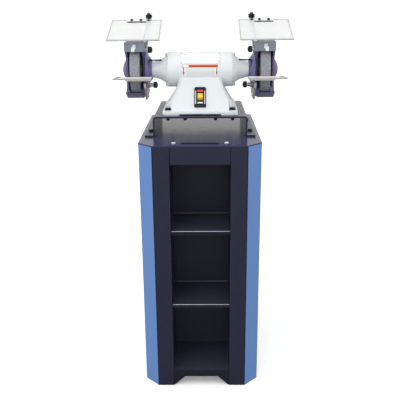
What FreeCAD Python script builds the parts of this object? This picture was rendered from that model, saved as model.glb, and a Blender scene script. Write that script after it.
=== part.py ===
import FreeCAD, Part
import math
import os

# Two-wheel bench grinder on a riser bracket and an open-fronted pedestal cabinet.
# Millimetres. +Z is up, the front faces -Y, and the origin is on the floor under
# the middle of the cabinet. Right is +X; every left-hand piece is a mirrored copy.

V = FreeCAD.Vector
ALONG_Y = V(0, 1, 0)
ALONG_Z = V(0, 0, 1)

# Driving dimensions
CABINET_HEIGHT = 870.0
CABINET_FRONT = 304.0        # flat front, between the corner panels
CABINET_DEPTH = 625.2
CORNER_CUT = 47.0            # each 45 degree corner, measured along X and along Y
SHEET = 2.0
TOP_PLATE = 4.0
BAY_HALF = 98.0              # half the width of the open bay
BAY_BACK = -117.0
HEADER_HEIGHT = 58.0
SHELF_TOPS = (581.0, 314.0)
SHELF_LIP = 13.4
BOTTOM_SHELF_TOP = 60.0
ANCHOR_X = 176.0
ANCHOR_Y = 210.0

RISER_HEIGHT = 68.6
RISER_HALF_WIDTH = 157.5
RISER_HALF_LENGTH = 177.0
RISER_PLATE = 6.0
RISER_FOOT = 185.0
RISER_BOLT_X = 171.0
RISER_BOLT_Y = 103.0

SPINDLE_HEIGHT = 1076.0
WHEEL_RADIUS = 89.0
WHEEL_WIDTH = 32.0
WHEEL_CENTRE = 222.5
ARBOR_RADIUS = 7.94
JOURNAL_RADIUS = 8.5
RUNNING_GAP = 0.05

MOTOR_RADIUS = 60.2
MOTOR_HALF = 97.0
MOTOR_WALL = 4.0
BELL_RIM = 111.0             # where the end bell leaves the barrel's radius
LUG_END = 118.0
NECK_RADIUS = 28.0
NECK_END = 168.0

BASE_FOOT_X = 127.5
BASE_FOOT_Y = 153.0
BASE_FOOT_HEIGHT = 12.0
BASE_TOP = 1056.0
BASE_BOLT_X = 110.0
BASE_BOLT_Y = 118.0
GLAND_SEAT = 144.0
GLAND_Z = 966.0

GUARD_RADIUS = 99.0
GUARD_INNER_RADIUS = 95.5
GUARD_X0 = 188.5
GUARD_X1 = 256.0
GUARD_WALL = 3.5
THROAT_TOP = 66.0            # opening edges, measured from the spindle axis
THROAT_BOTTOM = -73.0
THROAT_BACK = -40.0

SHIELD_WIDTH = 180.0
SHIELD_LENGTH = 172.0
SHIELD_THICKNESS = 3.0
SHIELD_TILT = 21.0
SHIELD_FOOT = V(222.5, -102.0, 1178.0)   # middle of the lower edge, right side
SWIVEL_U = -41.5             # swivel and clamp screws, across and up the shield
SWIVEL_V = SHIELD_LENGTH + 8.5
CLAMP_SCREWS = (-14.5, 17.5)
CLAMP_SHEET = 2.5

ARM_PIVOT_Y = -66.0
ARM_PIVOT_Z = 1148.0
ARM_SPREAD = (-2.5, 3.0)     # the arm's two faces, measured across from the swivel
REST_PIVOT_Y = -80.0
REST_PIVOT_Z = 1032.0
REST_TOP = 1060.0
LEVER_X = 172.0
LEVER_Y = -37.0
LEVER_Z = 1111.0
LEVER_LENGTH = 37.0
STUD_RADIUS = 4.0
GRIP_LENGTH = 12.0
REST_TRAVEL = 20.0
REST_BACK = -91.6
REST_FRONT = -132.0
REST_INNER_X = 163.0
REST_OUTER_X = (284.0, 292.0)   # at the back edge and at the front edge
ARRESTOR_TRAVEL = 10.0
ARRESTOR_SCREW_X = 222.5
ARRESTOR_SCREW_Z = 1155.0

SWITCH_Z = 991.0
PADDLE_TIP = 8.0             # degrees the rocker leans when it is off
BOLT_CIRCLE = 53.5
BOLT_ANGLE = 12
STATOR_HALF = 45.0
STATOR_BORE = 32.4
ROTOR_RADIUS = 31.6
SLOT_CIRCLE = 36.5
FLANGE_RADIUS = 30.0
NUT_LENGTH = 10.0
BEARING_X0 = 148.0
BEARING_X1 = 160.0
BEARING_RADIUS = 20.0
CAP_RADIUS = 38.0            # domed nut cap on the guard's outer wall
CAP_HEIGHT = 16.0
BASE_TOP_HALF_DEPTH = 56.0
BASE_FOOT_HALF_DEPTH = 141.0

# Derived levels
TOP_UNDERSIDE = CABINET_HEIGHT - TOP_PLATE
RISER_TOP = CABINET_HEIGHT + RISER_HEIGHT
FOOT_TOP = RISER_TOP + BASE_FOOT_HEIGHT
HALF_WIDTH = CABINET_FRONT / 2 + CORNER_CUT
HALF_DEPTH = CABINET_DEPTH / 2
WHEEL_X0 = WHEEL_CENTRE - WHEEL_WIDTH / 2
WHEEL_X1 = WHEEL_CENTRE + WHEEL_WIDTH / 2
MITRE = SHEET * math.tan(math.radians(22.5))
HALF_FRONT = CABINET_FRONT / 2
FLANK = HALF_DEPTH - CORNER_CUT
SLOPE_ANGLE = math.degrees(math.atan2(BASE_TOP - FOOT_TOP, BASE_FOOT_HALF_DEPTH - BASE_TOP_HALF_DEPTH))


# ---------------------------------------------------------------- helpers
def box(x0, x1, y0, y1, z0, z1):
    return Part.makeBox(x1 - x0, y1 - y0, z1 - z0, V(x0, y0, z0))


def rod_x(radius, x0, x1, y, z):
    return Part.makeCylinder(radius, x1 - x0, V(x0, y, z), V(1, 0, 0))


def rod_y(radius, y0, y1, x, z):
    return Part.makeCylinder(radius, y1 - y0, V(x, y0, z), V(0, 1, 0))


def rod_z(radius, z0, z1, x, y):
    return Part.makeCylinder(radius, z1 - z0, V(x, y, z0), V(0, 0, 1))


def prism(points, direction):
    wire = Part.makePolygon(points + [points[0]])
    return Part.Face(wire).extrude(direction)


def prism_x(yz, x0, x1):
    return prism([V(x0, y, z) for y, z in yz], V(x1 - x0, 0, 0))


def prism_y(xz, y0, y1):
    return prism([V(x, y0, z) for x, z in xz], V(0, y1 - y0, 0))


def prism_z(xy, z0, z1):
    return prism([V(x, y, z0) for x, y in xy], V(0, 0, z1 - z0))


def hex_points(radius):
    return [(radius * math.cos(math.radians(60 * i)), radius * math.sin(math.radians(60 * i)))
            for i in range(6)]


def hex_x(radius, x0, x1, y, z):
    return prism_x([(y + a, z + b) for a, b in hex_points(radius)], x0, x1)


def hex_z(radius, z0, z1, x, y):
    return prism_z([(x + a, y + b) for a, b in hex_points(radius)], z0, z1)


def spun(outline):
    """A solid of revolution about the spindle axis from (x, radius) points."""
    points = [V(x, 0, SPINDLE_HEIGHT + radius) for x, radius in outline]
    face = Part.Face(Part.makePolygon(points + [points[0]]))
    return face.revolve(V(0, 0, SPINDLE_HEIGHT), V(1, 0, 0), 360)


def fused(shapes):
    return shapes[0].multiFuse(shapes[1:]).removeSplitter()


def rounded(shape, radius, picked):
    edges = [edge for edge in shape.Edges if picked(edge)]
    return shape.makeFillet(radius, edges)


def runs_along(edge, axis):
    if edge.Curve.TypeId != "Part::GeomLine":
        return False
    step = edge.Vertexes[-1].Point.sub(edge.Vertexes[0].Point)
    return abs(abs(step.dot(axis)) - step.Length) < 1e-6


def mirrored(shape):
    return shape.mirror(V(0, 0, 0), V(1, 0, 0))


def four_corners(x, y):
    return [(sx * x, sy * y) for sx in (-1, 1) for sy in (-1, 1)]


# ---------------------------------------------------------------- cabinet
def octagon(half_width, half_depth, cut):
    inner_x = half_width - cut
    inner_y = half_depth - cut
    return [(inner_x, -half_depth), (half_width, -inner_y), (half_width, inner_y), (inner_x, half_depth),
            (-inner_x, half_depth), (-half_width, inner_y), (-half_width, -inner_y), (-inner_x, -half_depth)]


def cabinet_top():
    plate = prism_z(octagon(HALF_WIDTH, HALF_DEPTH, CORNER_CUT), TOP_UNDERSIDE, CABINET_HEIGHT)
    holes = [rod_z(4.5, TOP_UNDERSIDE, CABINET_HEIGHT, x, y)
             for x, y in four_corners(RISER_BOLT_X, RISER_BOLT_Y)]
    holes += [rod_z(4, TOP_UNDERSIDE, CABINET_HEIGHT, x, 157) for x in (-59, 59)]
    holes += [rod_z(3, TOP_UNDERSIDE, CABINET_HEIGHT, x, -273) for x in (-85, 85)]
    holes.append(box(-60, 60, -284, -272, TOP_UNDERSIDE, CABINET_HEIGHT))
    return plate.cut(Part.makeCompound(holes))


def side_panel():
    """A wall with a floor flange turned inwards at its foot."""
    wall = prism_z([(HALF_WIDTH, -FLANK), (HALF_WIDTH, FLANK), (HALF_WIDTH - SHEET, FLANK - MITRE),
                    (HALF_WIDTH - SHEET, MITRE - FLANK)], 0, TOP_UNDERSIDE)
    flange = box(HALF_WIDTH - 40, HALF_WIDTH - SHEET, 10 - FLANK, FLANK - 10, 0, 3)
    holes = [rod_z(6.5, 0, 3, ANCHOR_X, y) for y in (-ANCHOR_Y, ANCHOR_Y)]
    return fused([wall, flange]).cut(Part.makeCompound(holes))


def cabinet_side_panels():
    panel = side_panel()
    return [panel, mirrored(panel)]


def corner_panel():
    """Front right corner: a 45 degree strip mitred to its neighbours."""
    return prism_z([(HALF_FRONT, -HALF_DEPTH), (HALF_WIDTH, -FLANK),
                    (HALF_WIDTH - SHEET, MITRE - FLANK), (HALF_FRONT - MITRE, SHEET - HALF_DEPTH)],
                   0, TOP_UNDERSIDE)


def corner_panels():
    front_right = corner_panel()
    rear_right = front_right.mirror(V(0, 0, 0), V(0, 1, 0))
    return [front_right, mirrored(front_right), rear_right, mirrored(rear_right)]


def cabinet_rear_panel():
    return prism_z([(-HALF_FRONT, HALF_DEPTH), (HALF_FRONT, HALF_DEPTH),
                    (HALF_FRONT - MITRE, HALF_DEPTH - SHEET), (MITRE - HALF_FRONT, HALF_DEPTH - SHEET)],
                   0, TOP_UNDERSIDE)


def front_posts():
    """Each post is one folded sheet: its front face and the side wall of the bay."""
    front = -HALF_DEPTH
    post = prism_z([(BAY_HALF, front), (HALF_FRONT, front), (HALF_FRONT - MITRE, front + SHEET),
                    (BAY_HALF + SHEET, front + SHEET), (BAY_HALF + SHEET, BAY_BACK), (BAY_HALF, BAY_BACK)],
                   0, TOP_UNDERSIDE)
    return [post, mirrored(post)]


def header_panel():
    front = -HALF_DEPTH + SHEET
    panel = box(-BAY_HALF, BAY_HALF, front, front + SHEET, TOP_UNDERSIDE - HEADER_HEIGHT, TOP_UNDERSIDE)
    lip = box(-BAY_HALF, BAY_HALF, front + SHEET, front + 14,
              TOP_UNDERSIDE - HEADER_HEIGHT, TOP_UNDERSIDE - HEADER_HEIGHT + SHEET)
    return fused([panel, lip])


def kick_panel():
    front = -HALF_DEPTH + SHEET
    panel = box(-BAY_HALF, BAY_HALF, front, front + SHEET, 0, BOTTOM_SHELF_TOP)
    relief = prism_y([(-95, 0), (-58, 35), (58, 35), (95, 0)], front - 1, front + SHEET + 1)
    return panel.cut(relief)


def bay_shelves():
    front = 8.6 - HALF_DEPTH
    shelves = []
    for top in SHELF_TOPS:
        shelves.append(prism_x([(front, top - SHELF_LIP), (front + SHEET, top - SHELF_LIP),
                                (front + SHEET, top - SHEET), (BAY_BACK, top - SHEET),
                                (BAY_BACK, top), (front, top)], -BAY_HALF, BAY_HALF))
    return shelves


def bottom_shelf():
    front = -HALF_DEPTH + 2 * SHEET
    return box(-BAY_HALF, BAY_HALF, front, BAY_BACK, BOTTOM_SHELF_TOP - SHEET, BOTTOM_SHELF_TOP)


def bay_back_panel():
    reach = BAY_HALF + SHEET
    return box(-reach, reach, BAY_BACK, BAY_BACK + SHEET, BOTTOM_SHELF_TOP - SHEET, TOP_UNDERSIDE)


def top_screws():
    screws = []
    for x in (-85, 85):
        head = rod_z(6.5, CABINET_HEIGHT, CABINET_HEIGHT + 3, x, -273)
        head = rounded(head, 1.5, lambda edge: edge.BoundBox.ZMin > CABINET_HEIGHT + 2.9)
        screws.append(fused([head, rod_z(3, CABINET_HEIGHT - 16, CABINET_HEIGHT, x, -273)]))
    return screws


# ---------------------------------------------------------------- riser bracket
def riser_bracket():
    inner_x = RISER_HALF_WIDTH - RISER_PLATE
    length = RISER_HALF_LENGTH
    outer = box(-RISER_HALF_WIDTH, RISER_HALF_WIDTH, -length, length, CABINET_HEIGHT, RISER_TOP)
    outer = rounded(outer, 10, lambda edge: runs_along(edge, ALONG_Y) and edge.BoundBox.ZMin > RISER_TOP - 1)
    inner = box(-inner_x, inner_x, -length - 1, length + 1, CABINET_HEIGHT - 10, RISER_TOP - RISER_PLATE)
    inner = rounded(inner, 4, lambda edge: runs_along(edge, ALONG_Y) and edge.BoundBox.ZMin > RISER_TOP - 20)
    bracket = outer.cut(inner)
    for side in (-1, 1):
        x0, x1 = sorted((side * inner_x, side * RISER_FOOT))
        foot = box(x0, x1, -length, length, CABINET_HEIGHT, CABINET_HEIGHT + RISER_PLATE)
        bracket = bracket.fuse(foot)
    holes = [rod_z(4.5, CABINET_HEIGHT, CABINET_HEIGHT + RISER_PLATE, x, y)
             for x, y in four_corners(RISER_BOLT_X, RISER_BOLT_Y)]
    holes += [rod_z(5.5, RISER_TOP - RISER_PLATE, RISER_TOP, x, y)
              for x, y in four_corners(BASE_BOLT_X, BASE_BOLT_Y)]
    return bracket.cut(Part.makeCompound(holes)).removeSplitter()


def bolt_down(x, y, seat, shank_radius, head_radius, head_height, reach):
    """A hex bolt with a washer, standing on the level seat and reaching down."""
    washer = rod_z(head_radius * 1.2, seat, seat + 1.6, x, y)
    head = hex_z(head_radius, seat + 1.6, seat + 1.6 + head_height, x, y)
    shank = rod_z(shank_radius, seat - reach, seat, x, y)
    return fused([washer, head, shank])


def riser_bolts():
    seat = CABINET_HEIGHT + RISER_PLATE
    bolts = [bolt_down(x, y, seat, 4, 7.4, 5.3, 22) for x, y in four_corners(RISER_BOLT_X, RISER_BOLT_Y)]
    nuts = []
    for x, y in four_corners(RISER_BOLT_X, RISER_BOLT_Y):
        nut = hex_z(7.4, TOP_UNDERSIDE - 6.5, TOP_UNDERSIDE, x, y)
        nuts.append(nut.cut(rod_z(4, TOP_UNDERSIDE - 7, TOP_UNDERSIDE, x, y)))
    return bolts + nuts


# ---------------------------------------------------------------- grinder base
def rounded_rectangle(half_x, half_y, radius, z):
    """A closed wire of four lines and four arcs at height z."""
    corners = [(1, -1), (1, 1), (-1, 1), (-1, -1)]
    edges = []
    points = []
    for sx, sy in corners:
        cx, cy = sx * (half_x - radius), sy * (half_y - radius)
        first, last = (cx, sy * half_y), (sx * half_x, cy)
        if sx * sy > 0:
            first, last = last, first
        middle = (cx + sx * radius * math.sqrt(0.5), cy + sy * radius * math.sqrt(0.5))
        points.append((V(first[0], first[1], z), V(middle[0], middle[1], z), V(last[0], last[1], z)))
    for i, (first, middle, last) in enumerate(points):
        edges.append(Part.Arc(first, middle, last).toShape())
        following = points[(i + 1) % 4][0]
        edges.append(Part.LineSegment(last, following).toShape())
    return Part.Wire(edges)


def flank_at(t):
    """Half-width and height of the base's concave flank, from top (0) to foot (1)."""
    poles = [(73.0, BASE_TOP), (82.0, 1003.0), (110.0, 972.0), (124.0, FOOT_TOP)]
    weights = [(1 - t) ** 3, 3 * t * (1 - t) ** 2, 3 * t * t * (1 - t), t ** 3]
    half_x = sum(w * p[0] for w, p in zip(weights, poles))
    height = sum(w * p[1] for w, p in zip(weights, poles))
    return half_x, height


def depth_at(z):
    """The front and rear faces are plain slopes between the foot and the top."""
    spread = BASE_FOOT_HALF_DEPTH - BASE_TOP_HALF_DEPTH
    return BASE_TOP_HALF_DEPTH + spread * (BASE_TOP - z) / (BASE_TOP - FOOT_TOP)


def base_body():
    steps = 6
    wires = []
    for i in range(steps + 1):
        half_x, z = flank_at(i / steps)
        wires.append(rounded_rectangle(half_x, depth_at(z), 15, z))
    return Part.makeLoft(wires, True, False)


def bolt_pocket(x, y):
    """Room for a spanner over a bolt pad, open to the nearer end and side of the foot."""
    low, high = FOOT_TOP + 1, FOOT_TOP + 60
    x0, x1 = sorted((x - math.copysign(13, x), x + math.copysign(40, x)))
    y0, y1 = sorted((y, y + math.copysign(45, y)))
    y2, y3 = sorted((y - math.copysign(13, y), y + math.copysign(45, y)))
    x2, x3 = sorted((x, x + math.copysign(40, x)))
    return fused([rod_z(13, low, high, x, y), box(x0, x1, y0, y1, low, high), box(x2, x3, y2, y3, low, high)])


def grinder_base():
    """A hollow casting: a foot, a flared body, four bolt pads and a saddle for the motor."""
    corners = four_corners(BASE_BOLT_X, BASE_BOLT_Y)
    foot = Part.Face(rounded_rectangle(BASE_FOOT_X, BASE_FOOT_Y, 22, RISER_TOP))
    foot = foot.extrude(V(0, 0, BASE_FOOT_HEIGHT))
    foot = rounded(foot, 3, lambda edge: edge.BoundBox.ZMin > FOOT_TOP - 1)
    root = Part.Face(rounded_rectangle(124, BASE_FOOT_HALF_DEPTH, 15, FOOT_TOP - 4)).extrude(V(0, 0, 4))
    casting = foot.fuse(base_body().fuse(root))
    pads = [rod_z(13, FOOT_TOP - 2, FOOT_TOP + 1, x, y) for x, y in corners]
    pads.append(rod_y(14, 110, GLAND_SEAT, 0, GLAND_Z))
    casting = casting.multiFuse(pads)
    seats = [bolt_pocket(x, y) for x, y in corners]
    holes = [rod_z(5.5, RISER_TOP, FOOT_TOP + 2, x, y) for x, y in corners]
    saddle = rod_x(MOTOR_RADIUS, -140, 140, 0, SPINDLE_HEIGHT)
    cavity = [box(-88, 88, -112, 112, RISER_TOP, 970), box(-64, 64, -92, 92, 970, 1000)]
    reliefs = [box(-70, 70, y0, y1, RISER_TOP, RISER_TOP + 4) for y0, y1 in ((-160, -112), (112, 160))]
    wire_hole = rod_z(9, 990, 1030, 0, 0)
    gland_hole = rod_y(8, 90, 160, 0, GLAND_Z)
    hollows = fused([saddle, wire_hole, gland_hole, switch_pocket()] + cavity + reliefs)
    return casting.cut(Part.makeCompound(seats + holes)).cut(hollows)


def base_bolts():
    seat = FOOT_TOP + 1
    bolts = [bolt_down(x, y, seat, 5, 9.2, 6.4, 32) for x, y in four_corners(BASE_BOLT_X, BASE_BOLT_Y)]
    nuts = []
    under = RISER_TOP - RISER_PLATE
    for x, y in four_corners(BASE_BOLT_X, BASE_BOLT_Y):
        nuts.append(hex_z(9.2, under - 8, under, x, y).cut(rod_z(5, under - 8, under, x, y)))
    return bolts + nuts


def cord_gland():
    """Moulded inlet bush on the boss at the back of the base."""
    barrel = rod_y(8, GLAND_SEAT - 18, GLAND_SEAT, 0, GLAND_Z)
    collar = rod_y(11.5, GLAND_SEAT, GLAND_SEAT + 6, 0, GLAND_Z)
    nose = rod_y(8.5, GLAND_SEAT + 6, GLAND_SEAT + 16, 0, GLAND_Z)
    return fused([barrel, collar, nose]).cut(rod_y(4.5, GLAND_SEAT - 20, GLAND_SEAT + 20, 0, GLAND_Z))


def start_capacitor():
    can = rod_x(18, -42, 42, 40, 961)
    return rounded(can, 3, lambda edge: edge.Curve.TypeId == "Part::GeomCircle")


# ---------------------------------------------------------------- switch
def on_slope(shape):
    """Local X across, Y up the slope, Z out of the base's front face."""
    placed = shape.copy()
    placed.rotate(V(0, 0, 0), V(1, 0, 0), SLOPE_ANGLE)
    placed.translate(V(0, -depth_at(SWITCH_Z), SWITCH_Z))
    return placed


def switch_pocket():
    return on_slope(box(-14, 14, -24, 24, -40, 5))


def switch_body():
    plate = rounded(box(-20, 20, -38, 38, 0, 2), 3, lambda edge: runs_along(edge, ALONG_Z))
    shroud = box(-12.5, 12.5, -30, 30, 2, 7)
    caps = [box(-18, 18, 28, 37, 2, 9), box(-18, 18, -37, -28, 2, 9)]
    block = box(-13, 13, -23, 23, -30, 0)
    solid = fused([plate, shroud, block] + caps)
    well = fused([box(-9.5, 9.5, -14, 14, -8, 10), rod_x(11.6, -9.5, 9.5, 0, 0)])
    strip = box(-10, 10, 19, 24, 6, 8)
    return on_slope(solid.cut(well).cut(strip))


def switch_paddle():
    """A rocker with a removable key, at rest tipped to off."""
    rocker = rod_x(11, -9, 9, 0, 0).common(box(-9, 9, -12, 12, -7, 4.5))
    key = rounded(box(-8.6, 8.6, -9.5, 9.5, 3.5, 13), 2, lambda edge: edge.BoundBox.ZMin > 12.9)
    paddle = fused([rocker, key])
    paddle.rotate(V(0, 0, 0), V(1, 0, 0), -PADDLE_TIP)
    return on_slope(paddle)


# ---------------------------------------------------------------- motor
def three_round(radius, start):
    """Three (y, z) places round the spindle axis."""
    places = []
    for angle in (start, start + 120, start + 240):
        turn = math.radians(angle)
        places.append((radius * math.cos(turn), SPINDLE_HEIGHT + radius * math.sin(turn)))
    return places


def bolt_circle():
    """The four through bolts: two near the top of the motor, two near the bottom."""
    places = []
    for angle in (BOLT_ANGLE, 180 - BOLT_ANGLE, 180 + BOLT_ANGLE, 360 - BOLT_ANGLE):
        turn = math.radians(angle)
        places.append((BOLT_CIRCLE * math.sin(turn), SPINDLE_HEIGHT + BOLT_CIRCLE * math.cos(turn)))
    return places


def motor_housing():
    tube = rod_x(MOTOR_RADIUS, -MOTOR_HALF, MOTOR_HALF, 0, SPINDLE_HEIGHT)
    tube = tube.cut(rod_x(MOTOR_RADIUS - MOTOR_WALL, -MOTOR_HALF, MOTOR_HALF, 0, SPINDLE_HEIGHT))
    return tube.cut(rod_z(9, 1000, SPINDLE_HEIGHT, 0, 0))


def stator_core():
    reach = STATOR_HALF + 1
    core = rod_x(MOTOR_RADIUS - MOTOR_WALL, -STATOR_HALF, STATOR_HALF, 0, SPINDLE_HEIGHT)
    bores = [rod_x(STATOR_BORE, -reach, reach, 0, SPINDLE_HEIGHT)]
    bores += [rod_x(2.9, -reach, reach, y, z) for y, z in bolt_circle()]
    slots = []
    for i in range(24):
        turn = math.radians(15 * i)
        y, z = SLOT_CIRCLE * math.sin(turn), SPINDLE_HEIGHT + SLOT_CIRCLE * math.cos(turn)
        slots.append(rod_x(2.2, -reach, reach, y, z))
    return core.cut(Part.makeCompound(bores)).cut(Part.makeCompound(slots))


def stator_windings():
    coil = spun([(STATOR_HALF, 34.5), (68, 36), (72, 40), (68, 44.5), (STATOR_HALF, 46)])
    return [coil, mirrored(coil)]


def end_bell():
    """A trumpet-shaped cover: a parabola from the barrel's edge to the bearing neck."""
    axis = SPINDLE_HEIGHT

    def at(x, radius):
        return V(x, 0, axis + radius)

    outer = Part.BezierCurve()
    outer.setPoles([at(BELL_RIM, MOTOR_RADIUS), at(126, 34), at(165, NECK_RADIUS)])
    inner = Part.BezierCurve()
    inner.setPoles([at(146, 20.5), at(121, 30), at(107, 53)])
    straight = [at(MOTOR_HALF, MOTOR_RADIUS), at(BELL_RIM, MOTOR_RADIUS)]
    edges = [Part.LineSegment(*straight).toShape(), outer.toShape()]
    seat = BEARING_RADIUS
    corners = [at(165, NECK_RADIUS), at(NECK_END, NECK_RADIUS), at(NECK_END, 11), at(BEARING_X1, 11),
               at(BEARING_X1, seat), at(BEARING_X0, seat), at(BEARING_X0, 20.5), at(146, 20.5)]
    edges += [Part.LineSegment(a, b).toShape() for a, b in zip(corners, corners[1:])]
    edges += [inner.toShape(), Part.LineSegment(at(107, 53), at(MOTOR_HALF, 53)).toShape(),
              Part.LineSegment(at(MOTOR_HALF, 53), straight[0]).toShape()]
    bell = Part.Face(Part.Wire(edges)).revolve(V(0, 0, axis), V(1, 0, 0), 360)
    bosses = [rod_x(7, MOTOR_HALF, LUG_END, y, z) for y, z in bolt_circle()]
    ring = rod_x(MOTOR_RADIUS, MOTOR_HALF, LUG_END, 0, axis)
    bell = bell.multiFuse([boss.common(ring) for boss in bosses])
    holes = [rod_x(2.5, MOTOR_HALF, LUG_END + 1, y, z) for y, z in bolt_circle()]
    holes += [rod_x(6.4, LUG_END, LUG_END + 16, y, z) for y, z in bolt_circle()]
    holes += [rod_x(2.1, NECK_END - 8, NECK_END, y, z) for y, z in guard_screw_places()]
    return bell.cut(Part.makeCompound(holes))


def through_bolts():
    bolts = []
    for y, z in bolt_circle():
        head = hex_x(4.6, LUG_END, LUG_END + 4, y, z)
        bolts.append(fused([rod_x(2.4, -LUG_END, LUG_END, y, z), head, mirrored(head)]))
    return bolts


def bearings():
    """Sealed ball bearings, with a shallow recess for the seal on each face."""
    recess = 0.8
    bore = rod_x(JOURNAL_RADIUS + 0.03, BEARING_X0, BEARING_X1, 0, SPINDLE_HEIGHT)
    ring = rod_x(BEARING_RADIUS, BEARING_X0, BEARING_X1, 0, SPINDLE_HEIGHT).cut(bore)
    for face in (BEARING_X0, BEARING_X1 - recess):
        groove = rod_x(17, face, face + recess, 0, SPINDLE_HEIGHT)
        ring = ring.cut(groove.cut(rod_x(11.5, face, face + recess, 0, SPINDLE_HEIGHT)))
    return [ring, mirrored(ring)]


def spindle():
    """A stepped shaft, the same at both ends."""
    half = [(74, 11), (74, 9.5), (140, 9.5), (140, JOURNAL_RADIUS), (196, JOURNAL_RADIUS),
            (196, ARBOR_RADIUS), (261, ARBOR_RADIUS), (262.5, ARBOR_RADIUS - 1.5), (262.5, 0)]
    return spun([(-x, r) for x, r in reversed(half)] + half)


def rotor_core():
    core = rod_x(ROTOR_RADIUS, -STATOR_HALF, STATOR_HALF, 0, SPINDLE_HEIGHT)
    ring = spun([(STATOR_HALF, 20), (STATOR_HALF, 31), (52, 31), (52, 20)])
    return fused([core, ring, mirrored(ring)]).cut(rod_x(11, -60, 60, 0, SPINDLE_HEIGHT))


def wheel_flanges():
    rim = FLANGE_RADIUS
    inner = spun([(196, ARBOR_RADIUS), (196, 16), (200, rim), (WHEEL_X0, rim), (WHEEL_X0, 24),
                  (WHEEL_X0 - 1.5, 22), (WHEEL_X0 - 1.5, ARBOR_RADIUS)])
    outer = spun([(WHEEL_X1 + 1.5, ARBOR_RADIUS), (WHEEL_X1 + 1.5, 22), (WHEEL_X1, 24), (WHEEL_X1, rim),
                  (WHEEL_X1 + 4, rim), (WHEEL_X1 + 7, 16), (WHEEL_X1 + 7, ARBOR_RADIUS)])
    return [inner, outer, mirrored(inner), mirrored(outer)]


def grinding_wheel():
    rim = 1.0
    return spun([(WHEEL_X0, ARBOR_RADIUS), (WHEEL_X0, WHEEL_RADIUS - rim), (WHEEL_X0 + rim, WHEEL_RADIUS),
                 (WHEEL_X1 - rim, WHEEL_RADIUS), (WHEEL_X1, WHEEL_RADIUS - rim), (WHEEL_X1, ARBOR_RADIUS)])


def spindle_nuts():
    seat = WHEEL_X1 + 7
    end = seat + NUT_LENGTH
    nut = hex_x(13.5, seat, end, 0, SPINDLE_HEIGHT)
    nut = nut.common(spun([(seat, 0), (seat, 13.5), (end - 2, 13.5), (end, 11.8), (end, 0)]))
    nut = nut.cut(rod_x(ARBOR_RADIUS, seat - 1, end + 1, 0, SPINDLE_HEIGHT))
    return [nut, mirrored(nut)]


# ---------------------------------------------------------------- guards
def guard_screw_places():
    return three_round(19, 90)


def cover_screw_places():
    return three_round(88.2, 0)


def throat(grow, x0, x1):
    """The open front of the guard: a wide notch with bevelled inner corners."""
    z = SPINDLE_HEIGHT
    top, bottom, back = THROAT_TOP + grow, THROAT_BOTTOM - grow, THROAT_BACK + grow
    bevel = 22
    return prism_x([(-140, z + top), (back - bevel, z + top), (back, z + top - bevel),
                    (back, z + bottom + bevel), (back - bevel * 0.75, z + bottom),
                    (-140, z + bottom)], x0, x1)


def drum(radius, grow, x0, x1):
    return rod_x(radius, x0, x1, 0, SPINDLE_HEIGHT).cut(throat(grow, x0 - 1, x1 + 1))


def wheel_guard():
    """Inner half: a shallow pan with a conical hub and ears for the shield arm and lever."""
    z = SPINDLE_HEIGHT
    pan = drum(GUARD_INNER_RADIUS, 0, GUARD_X0, 206)
    pan = pan.cut(drum(GUARD_INNER_RADIUS - GUARD_WALL, GUARD_WALL, GUARD_X0 + GUARD_WALL, 207))
    pan = pan.cut(box(203, 207, -60, -30, z - 60, z + 60))
    cone = spun([(NECK_END, 11), (NECK_END, 33), (GUARD_X0 + 1, 62), (GUARD_X0 + 1, 57), (NECK_END + 5, 29),
                 (NECK_END + 5, 11)])
    hub_bore = rod_x(57, GUARD_X0 - 1, GUARD_X0 + GUARD_WALL + 1, 0, z)
    ear = rod_x(11, GUARD_X0 - 4, GUARD_X0, ARM_PIVOT_Y, ARM_PIVOT_Z)
    web = prism_x([(-40, z + 52), (ARM_PIVOT_Y - 8, ARM_PIVOT_Z - 8), (ARM_PIVOT_Y + 7, ARM_PIVOT_Z + 9),
                   (-12, z + 80)], GUARD_X0 - 4, GUARD_X0 + 1)
    web = web.cut(throat(0, GUARD_X0 - 6, GUARD_X0 + 6))
    lever_pad = rod_z(5, z + 12, LEVER_Z - 3.7, LEVER_X, LEVER_Y)
    guard = pan.cut(hub_bore).multiFuse([cone, ear, web, lever_pad])
    tools = [rod_x(STUD_RADIUS + RUNNING_GAP, GUARD_X0 - 5, GUARD_X0 + 5, ARM_PIVOT_Y, ARM_PIVOT_Z),
             rod_z(3 + RUNNING_GAP, LEVER_Z - 11, LEVER_Z, LEVER_X, LEVER_Y)]
    tools += [rod_x(2.5, NECK_END - 1, NECK_END + 6, y, sz) for y, sz in guard_screw_places()]
    return guard.cut(Part.makeCompound(tools))


def guard_cover():
    """Outer half: the band round the wheel, the end wall and the domed nut cap."""
    z = SPINDLE_HEIGHT
    inner = GUARD_INNER_RADIUS + 0.1
    body = drum(GUARD_RADIUS, 0, 200, GUARD_X1)
    pad = prism_x([(-78, z + THROAT_TOP), (-78, z + 94), (-20, z + 97), (-20, z + THROAT_TOP)], 201, 254)
    body = body.fuse(pad.cut(rod_x(GUARD_RADIUS - 1, 199, 257, 0, z)))
    body = body.cut(rod_x(inner, 199, 242, 0, z))
    body = body.cut(drum(inner, GUARD_WALL, 241, GUARD_X1 - GUARD_WALL))
    ball = (CAP_RADIUS ** 2 + CAP_HEIGHT ** 2) / (2 * CAP_HEIGHT)
    centre = V(GUARD_X1 + CAP_HEIGHT - ball, 0, z)
    side = box(GUARD_X1 - GUARD_WALL, GUARD_X1 + 40, -80, 80, z - 80, z + 80)
    cap = Part.makeSphere(ball, centre).common(side)
    inside = box(GUARD_X1 - 9, GUARD_X1 + 40, -80, 80, z - 80, z + 80)
    hollow = Part.makeSphere(ball - 3, centre).common(inside)
    body = body.fuse(cap).cut(hollow)
    screw_hole = rod_y(2.6, -80, -50, ARRESTOR_SCREW_X, ARRESTOR_SCREW_Z)
    return body.cut(screw_hole)


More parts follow.
